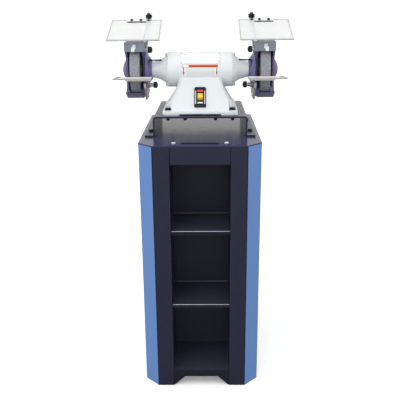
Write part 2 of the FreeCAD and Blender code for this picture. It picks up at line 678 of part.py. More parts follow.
def guard_screws():
    """Hub screws inside each guard and cover screws outside it."""
    screws = []
    for y, z in guard_screw_places():
        x = NECK_END + 5
        screws.append(fused([rod_x(2.1, x - 12, x, y, z), rod_x(4.2, x, x + 4, y, z)]))
    for y, z in cover_screw_places():
        head = rod_x(5.5, GUARD_X1, GUARD_X1 + 3.2, y, z)
        screws.append(rounded(head, 1.2, lambda edge: edge.BoundBox.XMin > GUARD_X1 + 3))
    return screws + [mirrored(screw) for screw in screws]


def guard_lever():
    """A small clamp lever on the hub; its tapered handle points at the motor."""
    stud = rod_z(3, LEVER_Z - 10, LEVER_Z, LEVER_X, LEVER_Y)
    boss = rod_z(4.5, LEVER_Z - 3.5, LEVER_Z + 3.5, LEVER_X, LEVER_Y)
    tip = LEVER_X - LEVER_LENGTH
    outline = [(LEVER_X, 0), (LEVER_X, 1.9), (tip, 2.9), (tip - 2, 2.1), (tip - 3, 0)]
    points = [V(x, LEVER_Y, LEVER_Z + radius) for x, radius in outline]
    face = Part.Face(Part.makePolygon(points + [points[0]]))
    handle = face.revolve(V(LEVER_X, LEVER_Y, LEVER_Z), V(1, 0, 0), 360)
    return fused([stud, boss, handle])


# ---------------------------------------------------------------- spark arrestor
def spark_arrestor():
    plate = rounded(box(185, 255.5, -82, -78.2, 1142, 1174), 2, lambda edge: runs_along(edge, ALONG_Y))
    x, z = ARRESTOR_SCREW_X, ARRESTOR_SCREW_Z
    half = 3 + RUNNING_GAP
    slot = fused([box(x - half, x + half, -83, -78, z, z + ARRESTOR_TRAVEL), rod_y(half, -83, -78, x, z),
                  rod_y(half, -83, -78, x, z + ARRESTOR_TRAVEL)])
    return plate.cut(slot)


def arrestor_screw():
    """A screw whose head is a strap bent into two finger wings."""
    x, z = ARRESTOR_SCREW_X, ARRESTOR_SCREW_Z
    shank = fused([rod_y(2.55, -78, -66, x, z), rod_y(3, -84, -78, x, z)])
    collar = rod_y(6.5, -85.5, -82.3, x, z)
    wing = prism_x([(-85, z - 2), (-85, z + 2), (-92, z + 11), (-97, z + 12), (-97, z + 9.6), (-93, z + 8.8),
                    (-88.5, z + 2), (-88.5, z - 2)], x - 8, x + 3)
    other = wing.copy()
    other.rotate(V(x, 0, z), V(0, 1, 0), 180)
    return fused([shank, collar, wing, other])


# ---------------------------------------------------------------- eye shield
def on_shield(shape):
    """Local X across, Y up the shield's slope, Z out of its upper face."""
    placed = shape.copy()
    placed.rotate(V(0, 0, 0), V(1, 0, 0), SHIELD_TILT)
    placed.translate(SHIELD_FOOT)
    return placed


def shield_local(point):
    """Shield coordinates (up the slope, out of the plane) of a (y, z) point."""
    dy, dz = point[0] - SHIELD_FOOT.y, point[1] - SHIELD_FOOT.z
    tilt = math.radians(SHIELD_TILT)
    return dy * math.cos(tilt) + dz * math.sin(tilt), dz * math.cos(tilt) - dy * math.sin(tilt)


def eye_shield():
    half = SHIELD_WIDTH / 2
    sheet = box(-half, half, 0, SHIELD_LENGTH, 0, SHIELD_THICKNESS)
    sheet = rounded(sheet, 6, lambda edge: runs_along(edge, ALONG_Z))
    holes = [rod_z(2.5, 0, SHIELD_THICKNESS, u, SHIELD_LENGTH - 10) for u in CLAMP_SCREWS]
    return on_shield(sheet.cut(Part.makeCompound(holes)))


def shield_clamp():
    """Steel strip along the shield's top edge, with its two screws."""
    low = SHIELD_THICKNESS
    high = low + CLAMP_SHEET
    v = SHIELD_LENGTH - 10
    strip = box(-33, 33, SHIELD_LENGTH - 20, SHIELD_LENGTH + 2, low, high)
    neck = box(SWIVEL_U - 1, -28, SHIELD_LENGTH - 4, SWIVEL_V + 9, low, high)
    eye = rod_z(10, low, high, SWIVEL_U, SWIVEL_V)
    holes = [rod_z(2.5, low, high, u, v) for u in CLAMP_SCREWS]
    holes.append(rod_z(3 + RUNNING_GAP, low, high, SWIVEL_U, SWIVEL_V))
    plate = fused([strip, neck, eye]).cut(Part.makeCompound(holes))
    screws = []
    for u in CLAMP_SCREWS:
        head = rod_z(5, high, high + 3.5, u, v)
        screws.append(fused([head, rod_z(2.5, -4, high, u, v), hex_z(4.6, -4, -0.2, u, v)]))
    return [on_shield(solid) for solid in [plate] + screws]


def shield_arm():
    """Flat bar from the guard's ear up behind the shield to the swivel stud."""
    v0, n0 = shield_local((ARM_PIVOT_Y, ARM_PIVOT_Z))
    v1, n1 = SWIVEL_V, -8.0
    u0, u1 = SWIVEL_U + ARM_SPREAD[0], SWIVEL_U + ARM_SPREAD[1]
    length = math.hypot(v1 - v0, n1 - n0)
    half_bar = 6.5
    side = ((v1 - v0) / length * half_bar, (n1 - n0) / length * half_bar)
    bar = prism_x([(v0 + side[1], n0 - side[0]), (v1 + 3, n1 - side[0]), (v1 + 3, n1 + side[0]),
                   (v0 - side[1], n0 + side[0])], u0, u1)
    root = rod_x(10.5, u0, u1, v0, n0)
    post = rod_z(7.3, -4, SHIELD_THICKNESS - 0.1, SWIVEL_U, SWIVEL_V)
    arm = fused([bar, root, post])
    arm = arm.cut(rod_x(STUD_RADIUS + RUNNING_GAP, u0 - 1, u1 + 1, v0, n0))
    arm = arm.cut(rod_z(3 + RUNNING_GAP, -30, SHIELD_THICKNESS, SWIVEL_U, SWIVEL_V))
    arm = arm.cut(rod_z(7, -30, -6, SWIVEL_U, SWIVEL_V))
    return on_shield(arm)


def lobed_knob_z(radius, z0, z1, lobes):
    """A hand knob about local Z with shallow finger scallops."""
    knob = rod_z(radius, z0, z1, 0, 0)
    scallops = []
    for i in range(lobes):
        angle = 2 * math.pi * i / lobes
        scallops.append(rod_z(radius * 0.28, z0 - 1, z1 + 1, radius * 1.12 * math.cos(angle),
                              radius * 1.12 * math.sin(angle)))
    return knob.cut(Part.makeCompound(scallops))


def shield_knob():
    top = SHIELD_THICKNESS + 2.7
    grip = lobed_knob_z(11.5, top + 3, top + 11, 8)
    parts = [grip, rod_z(7, top, top + 3, 0, 0), rod_z(6, top + 11, top + 17, 0, 0), rod_z(3, -12, top, 0, 0),
             rod_z(5.4, -10.5, -6.3, 0, 0)]
    knob = fused(parts)
    knob.translate(V(SWIVEL_U, SWIVEL_V, 0))
    return on_shield(knob)


def side_knob(outer_x, inner_x, stud_to, y, z):
    """A hand knob about X, its grip towards the motor and its stud towards the guard."""
    grip = lobed_knob_z(11, 0, GRIP_LENGTH, 8)
    collar = rod_z(6.5, GRIP_LENGTH, inner_x - outer_x, 0, 0)
    cap = rod_z(6, -2.5, 0, 0, 0)
    knob = fused([grip, collar, cap])
    knob.rotate(V(0, 0, 0), V(0, 1, 0), 90)
    knob.translate(V(outer_x, y, z))
    if stud_to:
        knob = knob.fuse(rod_x(STUD_RADIUS, inner_x, stud_to, y, z)).removeSplitter()
    return knob


def arm_knob():
    return side_knob(163.5, 178, GUARD_X0 + 3, ARM_PIVOT_Y, ARM_PIVOT_Z)


# ---------------------------------------------------------------- tool rest
def rest_bracket():
    """A cast arm on the guard's inner face, slotted for the rest's pivot."""
    z = SPINDLE_HEIGHT
    y0 = REST_PIVOT_Y
    arm = prism_x([(y0 - REST_TRAVEL - 10, REST_PIVOT_Z + 8), (y0 - REST_TRAVEL - 10, REST_PIVOT_Z - 8),
                   (-66, z - 97), (-44, z - 84), (-34, z - 62), (y0 + 12, REST_PIVOT_Z + 8)],
                  GUARD_X0 - 6.1, GUARD_X0 - 0.1)
    rib = prism_y([(GUARD_X0 - 6.2, z - 56), (GUARD_X0 - 16, z - 60), (GUARD_X0 - 9, z - 92),
                   (GUARD_X0 - 6.2, z - 92)], -70, -63)
    rib = rib.fuse(box(GUARD_X0 - 6.3, GUARD_X0 - 6, -70, -63, z - 92, z - 56))
    half = STUD_RADIUS + RUNNING_GAP
    slot = fused([box(GUARD_X0 - 7, GUARD_X0, y0 - REST_TRAVEL, y0, REST_PIVOT_Z - half, REST_PIVOT_Z + half),
                  rod_x(half, GUARD_X0 - 7, GUARD_X0, y0, REST_PIVOT_Z),
                  rod_x(half, GUARD_X0 - 7, GUARD_X0, y0 - REST_TRAVEL, REST_PIVOT_Z)])
    return fused([arm, rib]).cut(slot)


def rest_brackets():
    places = [(-52, SPINDLE_HEIGHT - 68), (-54, SPINDLE_HEIGHT - 84)]
    bolts = [hex_x(6.2, GUARD_X0 - 11, GUARD_X0 - 6.1, y, z) for y, z in places]
    solids = [rest_bracket()] + bolts
    return solids + [mirrored(solid) for solid in solids]


def rest_pivot():
    """Clamp stud with a collar; it slides in the bracket's slot."""
    x = GUARD_X0
    stud = rod_x(STUD_RADIUS, x - 30, x + 0.2, REST_PIVOT_Y, REST_PIVOT_Z)
    collar = rod_x(11, x - 12.4, x - 6.4, REST_PIVOT_Y, REST_PIVOT_Z)
    head = rod_x(7.5, x + 0.2, x + 4.5, REST_PIVOT_Y, REST_PIVOT_Z)
    return fused([stud, collar, head])


def tool_rest():
    """Cast table with a bevelled outer end and a leg that clamps on the pivot."""
    back, front = REST_BACK, REST_FRONT
    inner, outer = REST_INNER_X, REST_OUTER_X
    table = prism_z([(inner, back), (outer[0], back), (outer[1], front), (inner, front)],
                    REST_TOP - 6, REST_TOP)
    rim = box(inner, 250, front, front + 5, REST_TOP - 10, REST_TOP)
    leg = prism_x([(REST_PIVOT_Y + 10.5, REST_PIVOT_Z), (REST_PIVOT_Y - 10.5, REST_PIVOT_Z - 3),
                   (front + 12, REST_TOP - 6), (front + 12, REST_TOP - 3), (back, REST_TOP - 3),
                   (back + 8, REST_TOP - 12)], 169.8, 175.8)
    eye = rod_x(11, 169.8, 175.8, REST_PIVOT_Y, REST_PIVOT_Z)
    rest = fused([table, rim, leg, eye])
    return rest.cut(rod_x(STUD_RADIUS + RUNNING_GAP, 169, 176, REST_PIVOT_Y, REST_PIVOT_Z))


def rest_knob():
    knob = side_knob(147, 169.5, 0, REST_PIVOT_Y, REST_PIVOT_Z)
    return knob.cut(rod_x(STUD_RADIUS + RUNNING_GAP, 158, 170, REST_PIVOT_Y, REST_PIVOT_Z))


# ---------------------------------------------------------------- output
def save(name, shape):
    solids = shape if isinstance(shape, list) else [shape]
    body = solids[0] if len(solids) == 1 else Part.makeCompound(solids)
    if len(solids) != len(body.Solids):
        raise ValueError(name + " has a stray solid")
    for solid in body.Solids:
        if not solid.isValid():
            raise ValueError(name + " is not a valid solid")
    body.exportStep("parts/" + name + ".step")


SINGLE = [cabinet_top, cabinet_side_panels, cabinet_rear_panel, corner_panels, front_posts, header_panel,
          kick_panel, bay_back_panel, bay_shelves, bottom_shelf, top_screws, riser_bracket, riser_bolts,
          grinder_base, base_bolts, cord_gland, start_capacitor, switch_body, switch_paddle, motor_housing,
          stator_core, stator_windings, through_bolts, bearings, spindle, rotor_core, wheel_flanges,
          spindle_nuts, guard_screws, rest_brackets]
HANDED = [end_bell, grinding_wheel, wheel_guard, guard_cover, guard_lever, spark_arrestor, arrestor_screw,
          eye_shield, shield_clamp, shield_arm, shield_knob, arm_knob, rest_pivot, tool_rest, rest_knob]

os.makedirs("parts", exist_ok=True)
for make in SINGLE:
    save(make.__name__, make())
for make in HANDED:
    right = make()
    left = [mirrored(solid) for solid in right] if isinstance(right, list) else mirrored(right)
    save(make.__name__ + "_right", right)
    save(make.__name__ + "_left", left)
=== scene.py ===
import math

import bmesh
import bpy
from mathutils import Matrix, Vector


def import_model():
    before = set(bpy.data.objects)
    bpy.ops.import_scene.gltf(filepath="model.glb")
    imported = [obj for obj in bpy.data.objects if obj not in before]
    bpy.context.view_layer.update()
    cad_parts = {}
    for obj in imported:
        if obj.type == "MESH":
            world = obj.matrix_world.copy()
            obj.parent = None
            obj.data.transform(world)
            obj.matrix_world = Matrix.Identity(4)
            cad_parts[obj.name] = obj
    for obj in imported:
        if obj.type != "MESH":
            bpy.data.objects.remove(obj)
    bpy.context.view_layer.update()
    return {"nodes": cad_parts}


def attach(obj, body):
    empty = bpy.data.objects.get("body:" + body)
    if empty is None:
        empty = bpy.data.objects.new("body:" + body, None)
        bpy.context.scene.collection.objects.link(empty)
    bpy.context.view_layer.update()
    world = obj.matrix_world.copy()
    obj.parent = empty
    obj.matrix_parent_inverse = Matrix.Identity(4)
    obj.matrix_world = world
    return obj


# A two-wheel bench grinder on a riser bracket and an open-fronted pedestal cabinet.
# +Z is up and the front faces -Y. The scene is in metres. The dimensions and the outlines
# of the added pieces are in millimetres, which MM turns into metres. Material grain and
# bump depths, lights and the camera's place are in metres.

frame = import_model()

MM = 0.001
SIDES = (("right", 1.0), ("left", -1.0))

# Cabinet and riser
CABINET_HEIGHT = 870.0
TOP_PLATE = 4.0
TOP_UNDERSIDE = CABINET_HEIGHT - TOP_PLATE
HEADER_HEIGHT = 58.0
HEADER_BOTTOM = TOP_UNDERSIDE - HEADER_HEIGHT
HALF_FRONT = 152.0
HALF_DEPTH = 312.6
SHEET = 2.0
BAY_HALF = 98.0
BAY_BACK = -117.0
SHELF_FRONT = -304.0
SHELF_TOPS = (581.0, 314.0)
RISER_HEIGHT = 68.6
RISER_TOP = CABINET_HEIGHT + RISER_HEIGHT
RISER_PLATE = 6.0
RISER_UNDERSIDE = RISER_TOP - RISER_PLATE

# Grinder base and motor
BASE_FOOT_HEIGHT = 12.0
FOOT_TOP = RISER_TOP + BASE_FOOT_HEIGHT
BASE_TOP = 1056.0
BASE_TOP_HALF_DEPTH = 56.0
BASE_FOOT_HALF_DEPTH = 141.0
BASE_BOLT_X = 110.0
BASE_BOLT_Y = 118.0
SWITCH_HEIGHT = 991.0
SPINDLE_HEIGHT = 1076.0
MOTOR_RADIUS = 60.2
BELL_RIM = 111.5             # the end bell's rim is finished like the barrel up to here

# Grinding heads, on the right
WHEEL_X = 222.5
WHEEL_HALF = 16.0
REST_COLLAR_X = 159.2        # where the knobs end and their steel collars start
ARM_COLLAR_X = 175.7
REST_TOP = 1060.0
REST_BACK = -91.6
REST_FRONT = -132.0
REST_OUTER_BACK = 284.0
REST_OUTER_FRONT = 292.0

# Eye shields: across, up and out from the middle of the lower edge
SHIELD_TILT = 21.0
SHIELD_FOOT = (WHEEL_X, -102.0, 1178.0)
SHIELD_HALF = 90.0
SHIELD_LENGTH = 172.0
SHIELD_THICKNESS = 3.0
SWIVEL_ACROSS = -41.5


# ---------------------------------------------------------------- shaders
WAVE_PERIOD = math.pi / 10   # metres from band to band of a wave texture at scale 1


def tone(red, green, blue):
    """A linear colour from an everyday 0 to 255 one."""
    values = []
    for part in (red, green, blue):
        part = part / 255.0
        values.append(part / 12.92 if part <= 0.04045 else ((part + 0.055) / 1.055) ** 2.4)
    return values + [1.0]


def grey(level):
    """A linear grey."""
    return (level, level, level, 1.0)


def scaled(colour, factor):
    """A darker or lighter version of a linear colour."""
    return [min(1.0, part * factor) for part in colour[:3]] + [1.0]


def set_ramp(ramp, stops):
    """Gives a colour ramp its (position, colour) stops, which rise in position."""
    while len(ramp.elements) < len(stops):
        ramp.elements.new(0.5)
    for element, (position, colour) in zip(ramp.elements, stops):
        element.position = position
        element.color = colour


class Finish:
    """A material with one Principled shader and a few short ways to feed it."""

    def __init__(self, name, **values):
        self.material = bpy.data.materials.new(name)
        self.material.use_nodes = True
        self.tree = self.material.node_tree
        self.shader = self.tree.nodes["Principled BSDF"]
        self.place = self.add("ShaderNodeTexCoord").outputs["Object"]
        self.bump_out = None
        for key, value in values.items():
            self.shader.inputs[key.replace("_", " ")].default_value = value

    def feed(self, socket, value):
        """Links a socket to another one, or gives it a plain value."""
        if isinstance(value, bpy.types.NodeSocket):
            self.tree.links.new(value, socket)
        else:
            socket.default_value = value

    def add(self, kind, settings=None, **inputs):
        """A new node, with its settings and with inputs named as in Blender."""
        made = self.tree.nodes.new(kind)
        for key, value in (settings or {}).items():
            setattr(made, key, value)
        for key, value in inputs.items():
            self.feed(made.inputs[key.replace("_", " ")], value)
        return made

    def noise(self, size, detail=2.0, stretch=None, rough=0.5):
        """Noise whose features are about that many metres across."""
        vector = self.place
        if stretch:
            vector = self.add("ShaderNodeMapping", Vector=self.place, Scale=stretch).outputs["Vector"]
        made = self.add("ShaderNodeTexNoise", Vector=vector, Scale=1.0 / size, Detail=detail, Roughness=rough)
        return made.outputs["Fac"]

    def cells(self, size):
        """Voronoi cells about that many metres across."""
        return self.add("ShaderNodeTexVoronoi", Vector=self.place, Scale=1.0 / size)

    def ramp(self, factor, stops):
        made = self.add("ShaderNodeValToRGB", Fac=factor)
        set_ramp(made.color_ramp, stops)
        return made.outputs["Color"]

    def blend(self, factor, first, second, kind="MIX"):
        """A mix of two colours. The Mix node's colour sockets are known by number only."""
        made = self.add("ShaderNodeMix", {"data_type": "RGBA", "blend_type": kind})
        for index, value in ((0, factor), (6, first), (7, second)):
            self.feed(made.inputs[index], value)
        return made.outputs[2]

    def spread(self, factor, low, high):
        """Maps 0 to 1 onto low to high."""
        made = self.add("ShaderNodeMapRange", Value=factor, To_Min=low, To_Max=high)
        return made.outputs["Result"]

    def maths(self, operation, first, second=0.0):
        made = self.add("ShaderNodeMath", {"operation": operation})
        self.feed(made.inputs[0], first)
        self.feed(made.inputs[1], second)
        return made.outputs["Value"]

    def colour(self, socket):
        self.tree.links.new(socket, self.shader.inputs["Base Color"])

    def rough(self, socket):
        self.tree.links.new(socket, self.shader.inputs["Roughness"])

    def bump(self, height, strength, depth):
        """Adds relief on top of any relief that the material has already."""
        made = self.add("ShaderNodeBump", Height=height, Strength=strength, Distance=depth)
        if self.bump_out is not None:
            self.tree.links.new(self.bump_out, made.inputs["Normal"])
        self.bump_out = made.outputs["Normal"]
        self.tree.links.new(self.bump_out, self.shader.inputs["Normal"])


def paint(name, colour, rough, specular=0.5, peel=0.25, drift=0.06, shine=(1, 1, 1, 1), grit=0.0):
    """Sprayed or powder-coated paint: drifting tone, orange peel, faint dust specks and grit."""
    made = Finish(name, Specular_IOR_Level=specular, Specular_Tint=shine)
    slow = made.noise(size=0.28, detail=3.0)
    base = made.blend(slow, scaled(colour, 1 - drift), scaled(colour, 1 + drift))
    specks = made.ramp(made.noise(size=0.0011, detail=1.0), [(0.24, grey(0.72)), (0.3, grey(1.0))])
    base = made.blend(0.35, base, specks, "MULTIPLY")
    if grit:
        grain = made.spread(made.noise(size=0.0045, detail=3.0, rough=0.7), -grit, 1 + grit)
        base = made.blend(grain, scaled(colour, 1 - grit), base)
    made.colour(base)
    made.rough(made.spread(made.noise(size=0.03, detail=3.0), rough - 0.05, rough + 0.05))
    made.bump(made.noise(size=0.0022, detail=2.0), strength=peel, depth=0.00012)
    made.bump(made.noise(size=0.012, detail=1.0), strength=peel * 0.5, depth=0.0003)
    return made.material


def casting(name, colour, rough, metallic=0.0, grain=0.5, specular=0.5):
    """A casting under enamel, or bare: pitted skin with soft waves."""
    made = Finish(name, Metallic=metallic, Specular_IOR_Level=specular)
    slow = made.noise(size=0.05, detail=4.0)
    fine = made.noise(size=0.0016, detail=3.0)
    base = made.blend(slow, scaled(colour, 0.94), scaled(colour, 1.05))
    base = made.blend(made.spread(fine, 0.0, 0.3), base, scaled(colour, 0.82))
    made.colour(base)
    made.rough(made.spread(slow, rough - 0.06, rough + 0.08))
    made.bump(fine, strength=grain * 0.5, depth=0.00025)
    made.bump(made.noise(size=0.009, detail=2.0), strength=grain, depth=0.0006)
    return made.material


def guard_rim(name, colour, dark, near, far):
    """A guard's front rim with painted shade: near-black within near mm of the wheel's middle plane,
    enamelled past far.
    """
    made = Finish(name, Specular_IOR_Level=0.25)
    across = made.add("ShaderNodeSeparateXYZ", Vector=made.place).outputs["X"]
    away = made.maths("ABSOLUTE", made.maths("SUBTRACT", made.maths("ABSOLUTE", across), WHEEL_X * MM))
    reach = made.add("ShaderNodeMapRange", Value=away, From_Min=near * MM, From_Max=far * MM)
    fine = made.noise(size=0.0016, detail=3.0)
    enamel = made.blend(fine, scaled(colour, 0.92), scaled(colour, 1.06))
    made.colour(made.blend(reach.outputs["Result"], dark, enamel))
    made.rough(made.spread(fine, 0.34, 0.5))
    made.bump(fine, strength=0.2, depth=0.00025)
    return made.material


def metal(name, colour, rough, stretch=(1, 1, 1), size=0.002, mottle=0.08, bump=0.12, metallic=1.0):
    """Bare or plated metal. The stretch draws the grain out along an axis."""
    made = Finish(name, Metallic=metallic)
    grain = made.noise(size, 4.0, stretch, 0.65)
    cloud = made.noise(size=0.018, detail=3.0)
    base = made.blend(grain, scaled(colour, 1 - mottle), scaled(colour, 1 + mottle))
    base = made.blend(made.spread(cloud, 0.0, 0.35), base, scaled(colour, 0.8))
    made.colour(base)
    made.rough(made.spread(grain, rough - 0.07, rough + 0.1))
    made.bump(grain, strength=bump, depth=0.0002)
    return made.material


def abrasive(name):
    """Bonded grains: dark and pale crystals in a grey bond, open pores, a smeared rim."""
    made = Finish(name, Specular_IOR_Level=0.25)
    grains = made.cells(0.0011)
    crystals = [(0.0, tone(90, 90, 96)), (0.45, tone(148, 149, 157)), (0.8, tone(180, 181, 190)),
                (1.0, tone(214, 214, 218))]
    bond = [(0.0, grey(1.0)), (0.55, grey(0.9)), (0.9, (0.45, 0.44, 0.45, 1))]
    shade = made.ramp(grains.outputs["Color"], crystals)
    pores = made.ramp(grains.outputs["Distance"], bond)
    base = made.blend(1.0, shade, pores, "MULTIPLY")
    smear = made.spread(made.noise(size=0.02, detail=3.0), 0.0, 0.3)
    base = made.blend(smear, base, tone(120, 119, 126))
    made.colour(base)
    made.rough(made.spread(grains.outputs["Distance"], 0.78, 1.0))
    made.bump(grains.outputs["Distance"], strength=0.7, depth=0.0005)
    made.bump(made.noise(size=0.0004, detail=2.0), strength=0.4, depth=0.0002)
    return made.material


def stacked(name, colour, pitch, rough, metallic, bump):
    """Thin sheets or windings side by side along X."""
    made = Finish(name, Metallic=metallic)
    lines = made.add("ShaderNodeTexWave", {"bands_direction": "X"}, Vector=made.place,
                     Scale=WAVE_PERIOD / pitch, Distortion=0.25, Detail=1.0)
    base = made.blend(lines.outputs["Fac"], scaled(colour, 0.45), scaled(colour, 1.1))
    base = made.blend(made.spread(made.noise(size=0.01, detail=2.0), 0.0, 0.25), base, scaled(colour, 0.7))
    made.colour(base)
    made.rough(made.spread(lines.outputs["Fac"], rough + 0.12, rough))
    made.bump(lines.outputs["Fac"], strength=bump, depth=0.0003)
    return made.material


def plastic(name, colour, rough, specular=0.5, grain=0.3):
    """Moulded plastic with a spark-eroded skin."""
    made = Finish(name, Specular_IOR_Level=specular)
    skin = made.noise(size=0.0007, detail=3.0)
    made.colour(made.blend(made.noise(size=0.015, detail=2.0), scaled(colour, 0.88), scaled(colour, 1.1)))
    made.rough(made.spread(skin, rough - 0.06, rough + 0.08))
    made.bump(skin, strength=grain, depth=0.00012)
    return made.material


def clear_sheet(name, colour, rough, passing):
    """Clear sheet plastic with faint hairline scratches and haze."""
    made = Finish(name, Transmission_Weight=passing, IOR=1.3, Specular_IOR_Level=0.5)
    haze = made.noise(size=0.05, detail=3.0)
    hairs = made.noise(size=0.0012, detail=2.0, stretch=(0.02, 1, 1))
    made.colour(made.blend(haze, scaled(colour, 0.97), scaled(colour, 1.02)))
    made.rough(made.spread(hairs, rough - 0.03, rough + 0.06))
    made.bump(hairs, strength=0.04, depth=0.0001)
    return made.material


def printed(name, colour, rough=0.35):
    """Print on film: flat ink with a fine screen of dots and a soft sheen."""
    made = Finish(name, Specular_IOR_Level=0.4)
    dots = made.cells(0.0006).outputs["Distance"]
    made.colour(made.blend(made.spread(dots, 0.0, 0.5), scaled(colour, 1.04), scaled(colour, 0.9)))
    made.rough(made.spread(made.noise(size=0.01, detail=2.0), rough - 0.05, rough + 0.08))
    made.bump(made.noise(size=0.004, detail=2.0), strength=0.05, depth=0.0001)
    return made.material


# ---------------------------------------------------------------- materials
GUARD_COLOUR = tone(104, 99, 140)
# Near-black for the painted shade on the guards' rims and insides, beside the wheels
RIM_SHADE_COLOUR = tone(15, 13, 20)

NAVY = paint("navy_paint", tone(44, 45, 65), 0.3, specular=0.22, grit=0.3)
# A darker copy of the navy paint: painted shade on the recessed kick panel and on the shelves' front lips
NAVY_SHADE = paint("kick_paint", tone(33, 34, 46), 0.36, specular=0.2, grit=0.3)
BLUE = paint("blue_paint", tone(100, 135, 192), 0.36, specular=0.25, drift=0.05, grit=0.05)
# Lighter copies of the navy paint for the bay's back and its shelves: painted light that lifts the shade
# inside the bay
BAY_PAINTED_LIGHT = paint("bay_paint", tone(49, 50, 62), 0.42, specular=0.2, grit=0.3)
SHELF_PAINTED_LIGHT = paint("shelf_paint", tone(64, 65, 82), 0.36, specular=0.3, grit=0.3)
# Pale grey for the painted highlight along the shelves' back flanges
RETURN_HIGHLIGHT = paint("return_paint", tone(104, 104, 116), 0.36, specular=0.3)
# Near-black for the painted shade in the gaps beside the front posts
GAP_SHADE = paint("seam_paint", tone(13, 12, 20), 0.5, specular=0.1)
# Pale metal for the painted highlight along the shelves' front edges
EDGE_HIGHLIGHT = metal("worn_edge", tone(205, 204, 210), 0.4, stretch=(0.05, 1, 1), mottle=0.18, metallic=0.4)
TOP = paint("top_paint", tone(58, 56, 86), 0.22, specular=0.27, peel=0.12, shine=(0.84, 0.87, 1, 1))
RISER = paint("riser_paint", tone(46, 46, 64), 0.28, specular=0.17, peel=0.12)
ENAMEL = paint("white_enamel", tone(219, 224, 226), 0.24, peel=0.18, drift=0.012)
BASE_ENAMEL = casting("base_enamel", tone(213, 218, 221), 0.3, grain=0.3)
CAST_ENAMEL = casting("cast_enamel", tone(241, 245, 247), 0.3, grain=0.3)
GUARD = casting("guard_enamel", GUARD_COLOUR, 0.26, grain=0.25, specular=0.3)
# Painted shade: near-black inside the guards, where the wheel sits in shade
GUARD_INSIDE_SHADE = casting("guard_inside", tone(16, 14, 22), 0.8, grain=0.6, specular=0.1)
GUARD_RIM_SHADE = guard_rim("guard_rim", GUARD_COLOUR, RIM_SHADE_COLOUR, near=24.5, far=26)
COVER_RIM_SHADE = guard_rim("cover_rim", GUARD_COLOUR, RIM_SHADE_COLOUR, near=26, far=27.5)
ARRESTOR = metal("arrestor_steel", tone(158, 168, 179), 0.42, stretch=(0.5, 1, 1), size=0.005, mottle=0.2)
BRIGHT = metal("bright_plate", tone(236, 238, 240), 0.34, size=0.003, mottle=0.04, metallic=0.35)
ZINC = metal("zinc_plate", tone(196, 199, 204), 0.24, size=0.004, mottle=0.06)
MACHINED = metal("machined_steel", tone(176, 178, 182), 0.26, stretch=(6, 0.5, 0.5))
BEARING = metal("bearing_steel", tone(206, 207, 209), 0.14, stretch=(8, 0.6, 0.6), mottle=0.04, bump=0.05)
LAMINATIONS = stacked("laminations", tone(120, 122, 128), pitch=0.0008, rough=0.4, metallic=0.9, bump=0.6)
COPPER = stacked("copper_windings", tone(176, 92, 48), pitch=0.0011, rough=0.34, metallic=0.9, bump=0.9)
CAN = metal("capacitor_can", tone(170, 172, 176), 0.3, stretch=(0.1, 1, 1))
BLACK_OXIDE = metal("black_oxide", tone(40, 41, 44), 0.38, size=0.003, mottle=0.2, metallic=0.7)
CAST_METAL = casting("cast_metal", tone(206, 201, 198), 0.42, metallic=0.8, grain=0.45)
GROUND_METAL = metal("ground_metal", tone(244, 243, 243), 0.4, stretch=(0.08, 1, 1), mottle=0.05,
                     metallic=0.1)
ABRASIVE = abrasive("abrasive")
BLACK = plastic("black_plastic", tone(20, 20, 23), 0.42, specular=0.35)
JET = plastic("jet_black", tone(9, 9, 10), 0.6, specular=0.15)
YELLOW = plastic("yellow_plastic", tone(250, 196, 46), 0.32, grain=0.12)
RED = plastic("red_plastic", tone(205, 60, 70), 0.3, grain=0.1)
WHITE = plastic("white_plastic", tone(238, 238, 240), 0.3, grain=0.1)
CLEAR = clear_sheet("clear_plastic", tone(236, 237, 236), 0.24, passing=0.4)
CLEAR_EDGE = clear_sheet("clear_plastic_edge", tone(150, 154, 158), 0.3, passing=0.15)
LABEL = printed("label_white", tone(234, 235, 236))
LABEL_BAND = printed("label_orange", tone(198, 74, 34))
LABEL_MARK = printed("label_red", tone(150, 40, 40))
LABEL_INK = printed("label_grey", tone(196, 198, 202))
BLOTTER = casting("blotter_paper", tone(150, 134, 110), 0.85, grain=0.3, specular=0.1)

# The finish of each CAD node. A node with a left and a right copy is named without its side.
NODE_FINISH = {
    "cabinet_top": TOP, "cabinet_side_panels": BLUE, "cabinet_rear_panel": NAVY, "corner_panels": BLUE,
    "front_posts": NAVY, "header_panel": NAVY, "kick_panel": NAVY_SHADE, "bay_back_panel": BAY_PAINTED_LIGHT,
    "bay_shelves": SHELF_PAINTED_LIGHT, "bottom_shelf": SHELF_PAINTED_LIGHT, "top_screws": BRIGHT, "riser_bracket": RISER,
    "riser_bolts": BLACK_OXIDE, "grinder_base": BASE_ENAMEL, "base_bolts": BLACK_OXIDE,
    "cord_gland": BLACK, "start_capacitor": CAN, "switch_body": BLACK, "switch_paddle": YELLOW,
    "motor_housing": ENAMEL, "stator_core": LAMINATIONS, "stator_windings": COPPER,
    "through_bolts": ZINC, "bearings": BEARING, "spindle": MACHINED, "rotor_core": LAMINATIONS,
    "wheel_flanges": MACHINED, "spindle_nuts": ZINC, "guard_screws": ZINC, "rest_brackets": CAST_METAL,
    "end_bell": CAST_ENAMEL, "grinding_wheel": ABRASIVE, "wheel_guard": GUARD, "guard_cover": GUARD,
    "guard_lever": BLACK_OXIDE, "spark_arrestor": ARRESTOR, "arrestor_screw": BRIGHT, "eye_shield": CLEAR,
    "shield_clamp": BRIGHT, "shield_arm": ZINC, "shield_knob": BLACK, "arm_knob": BLACK,
    "rest_pivot": MACHINED, "tool_rest": CAST_METAL, "rest_knob": BLACK,
}

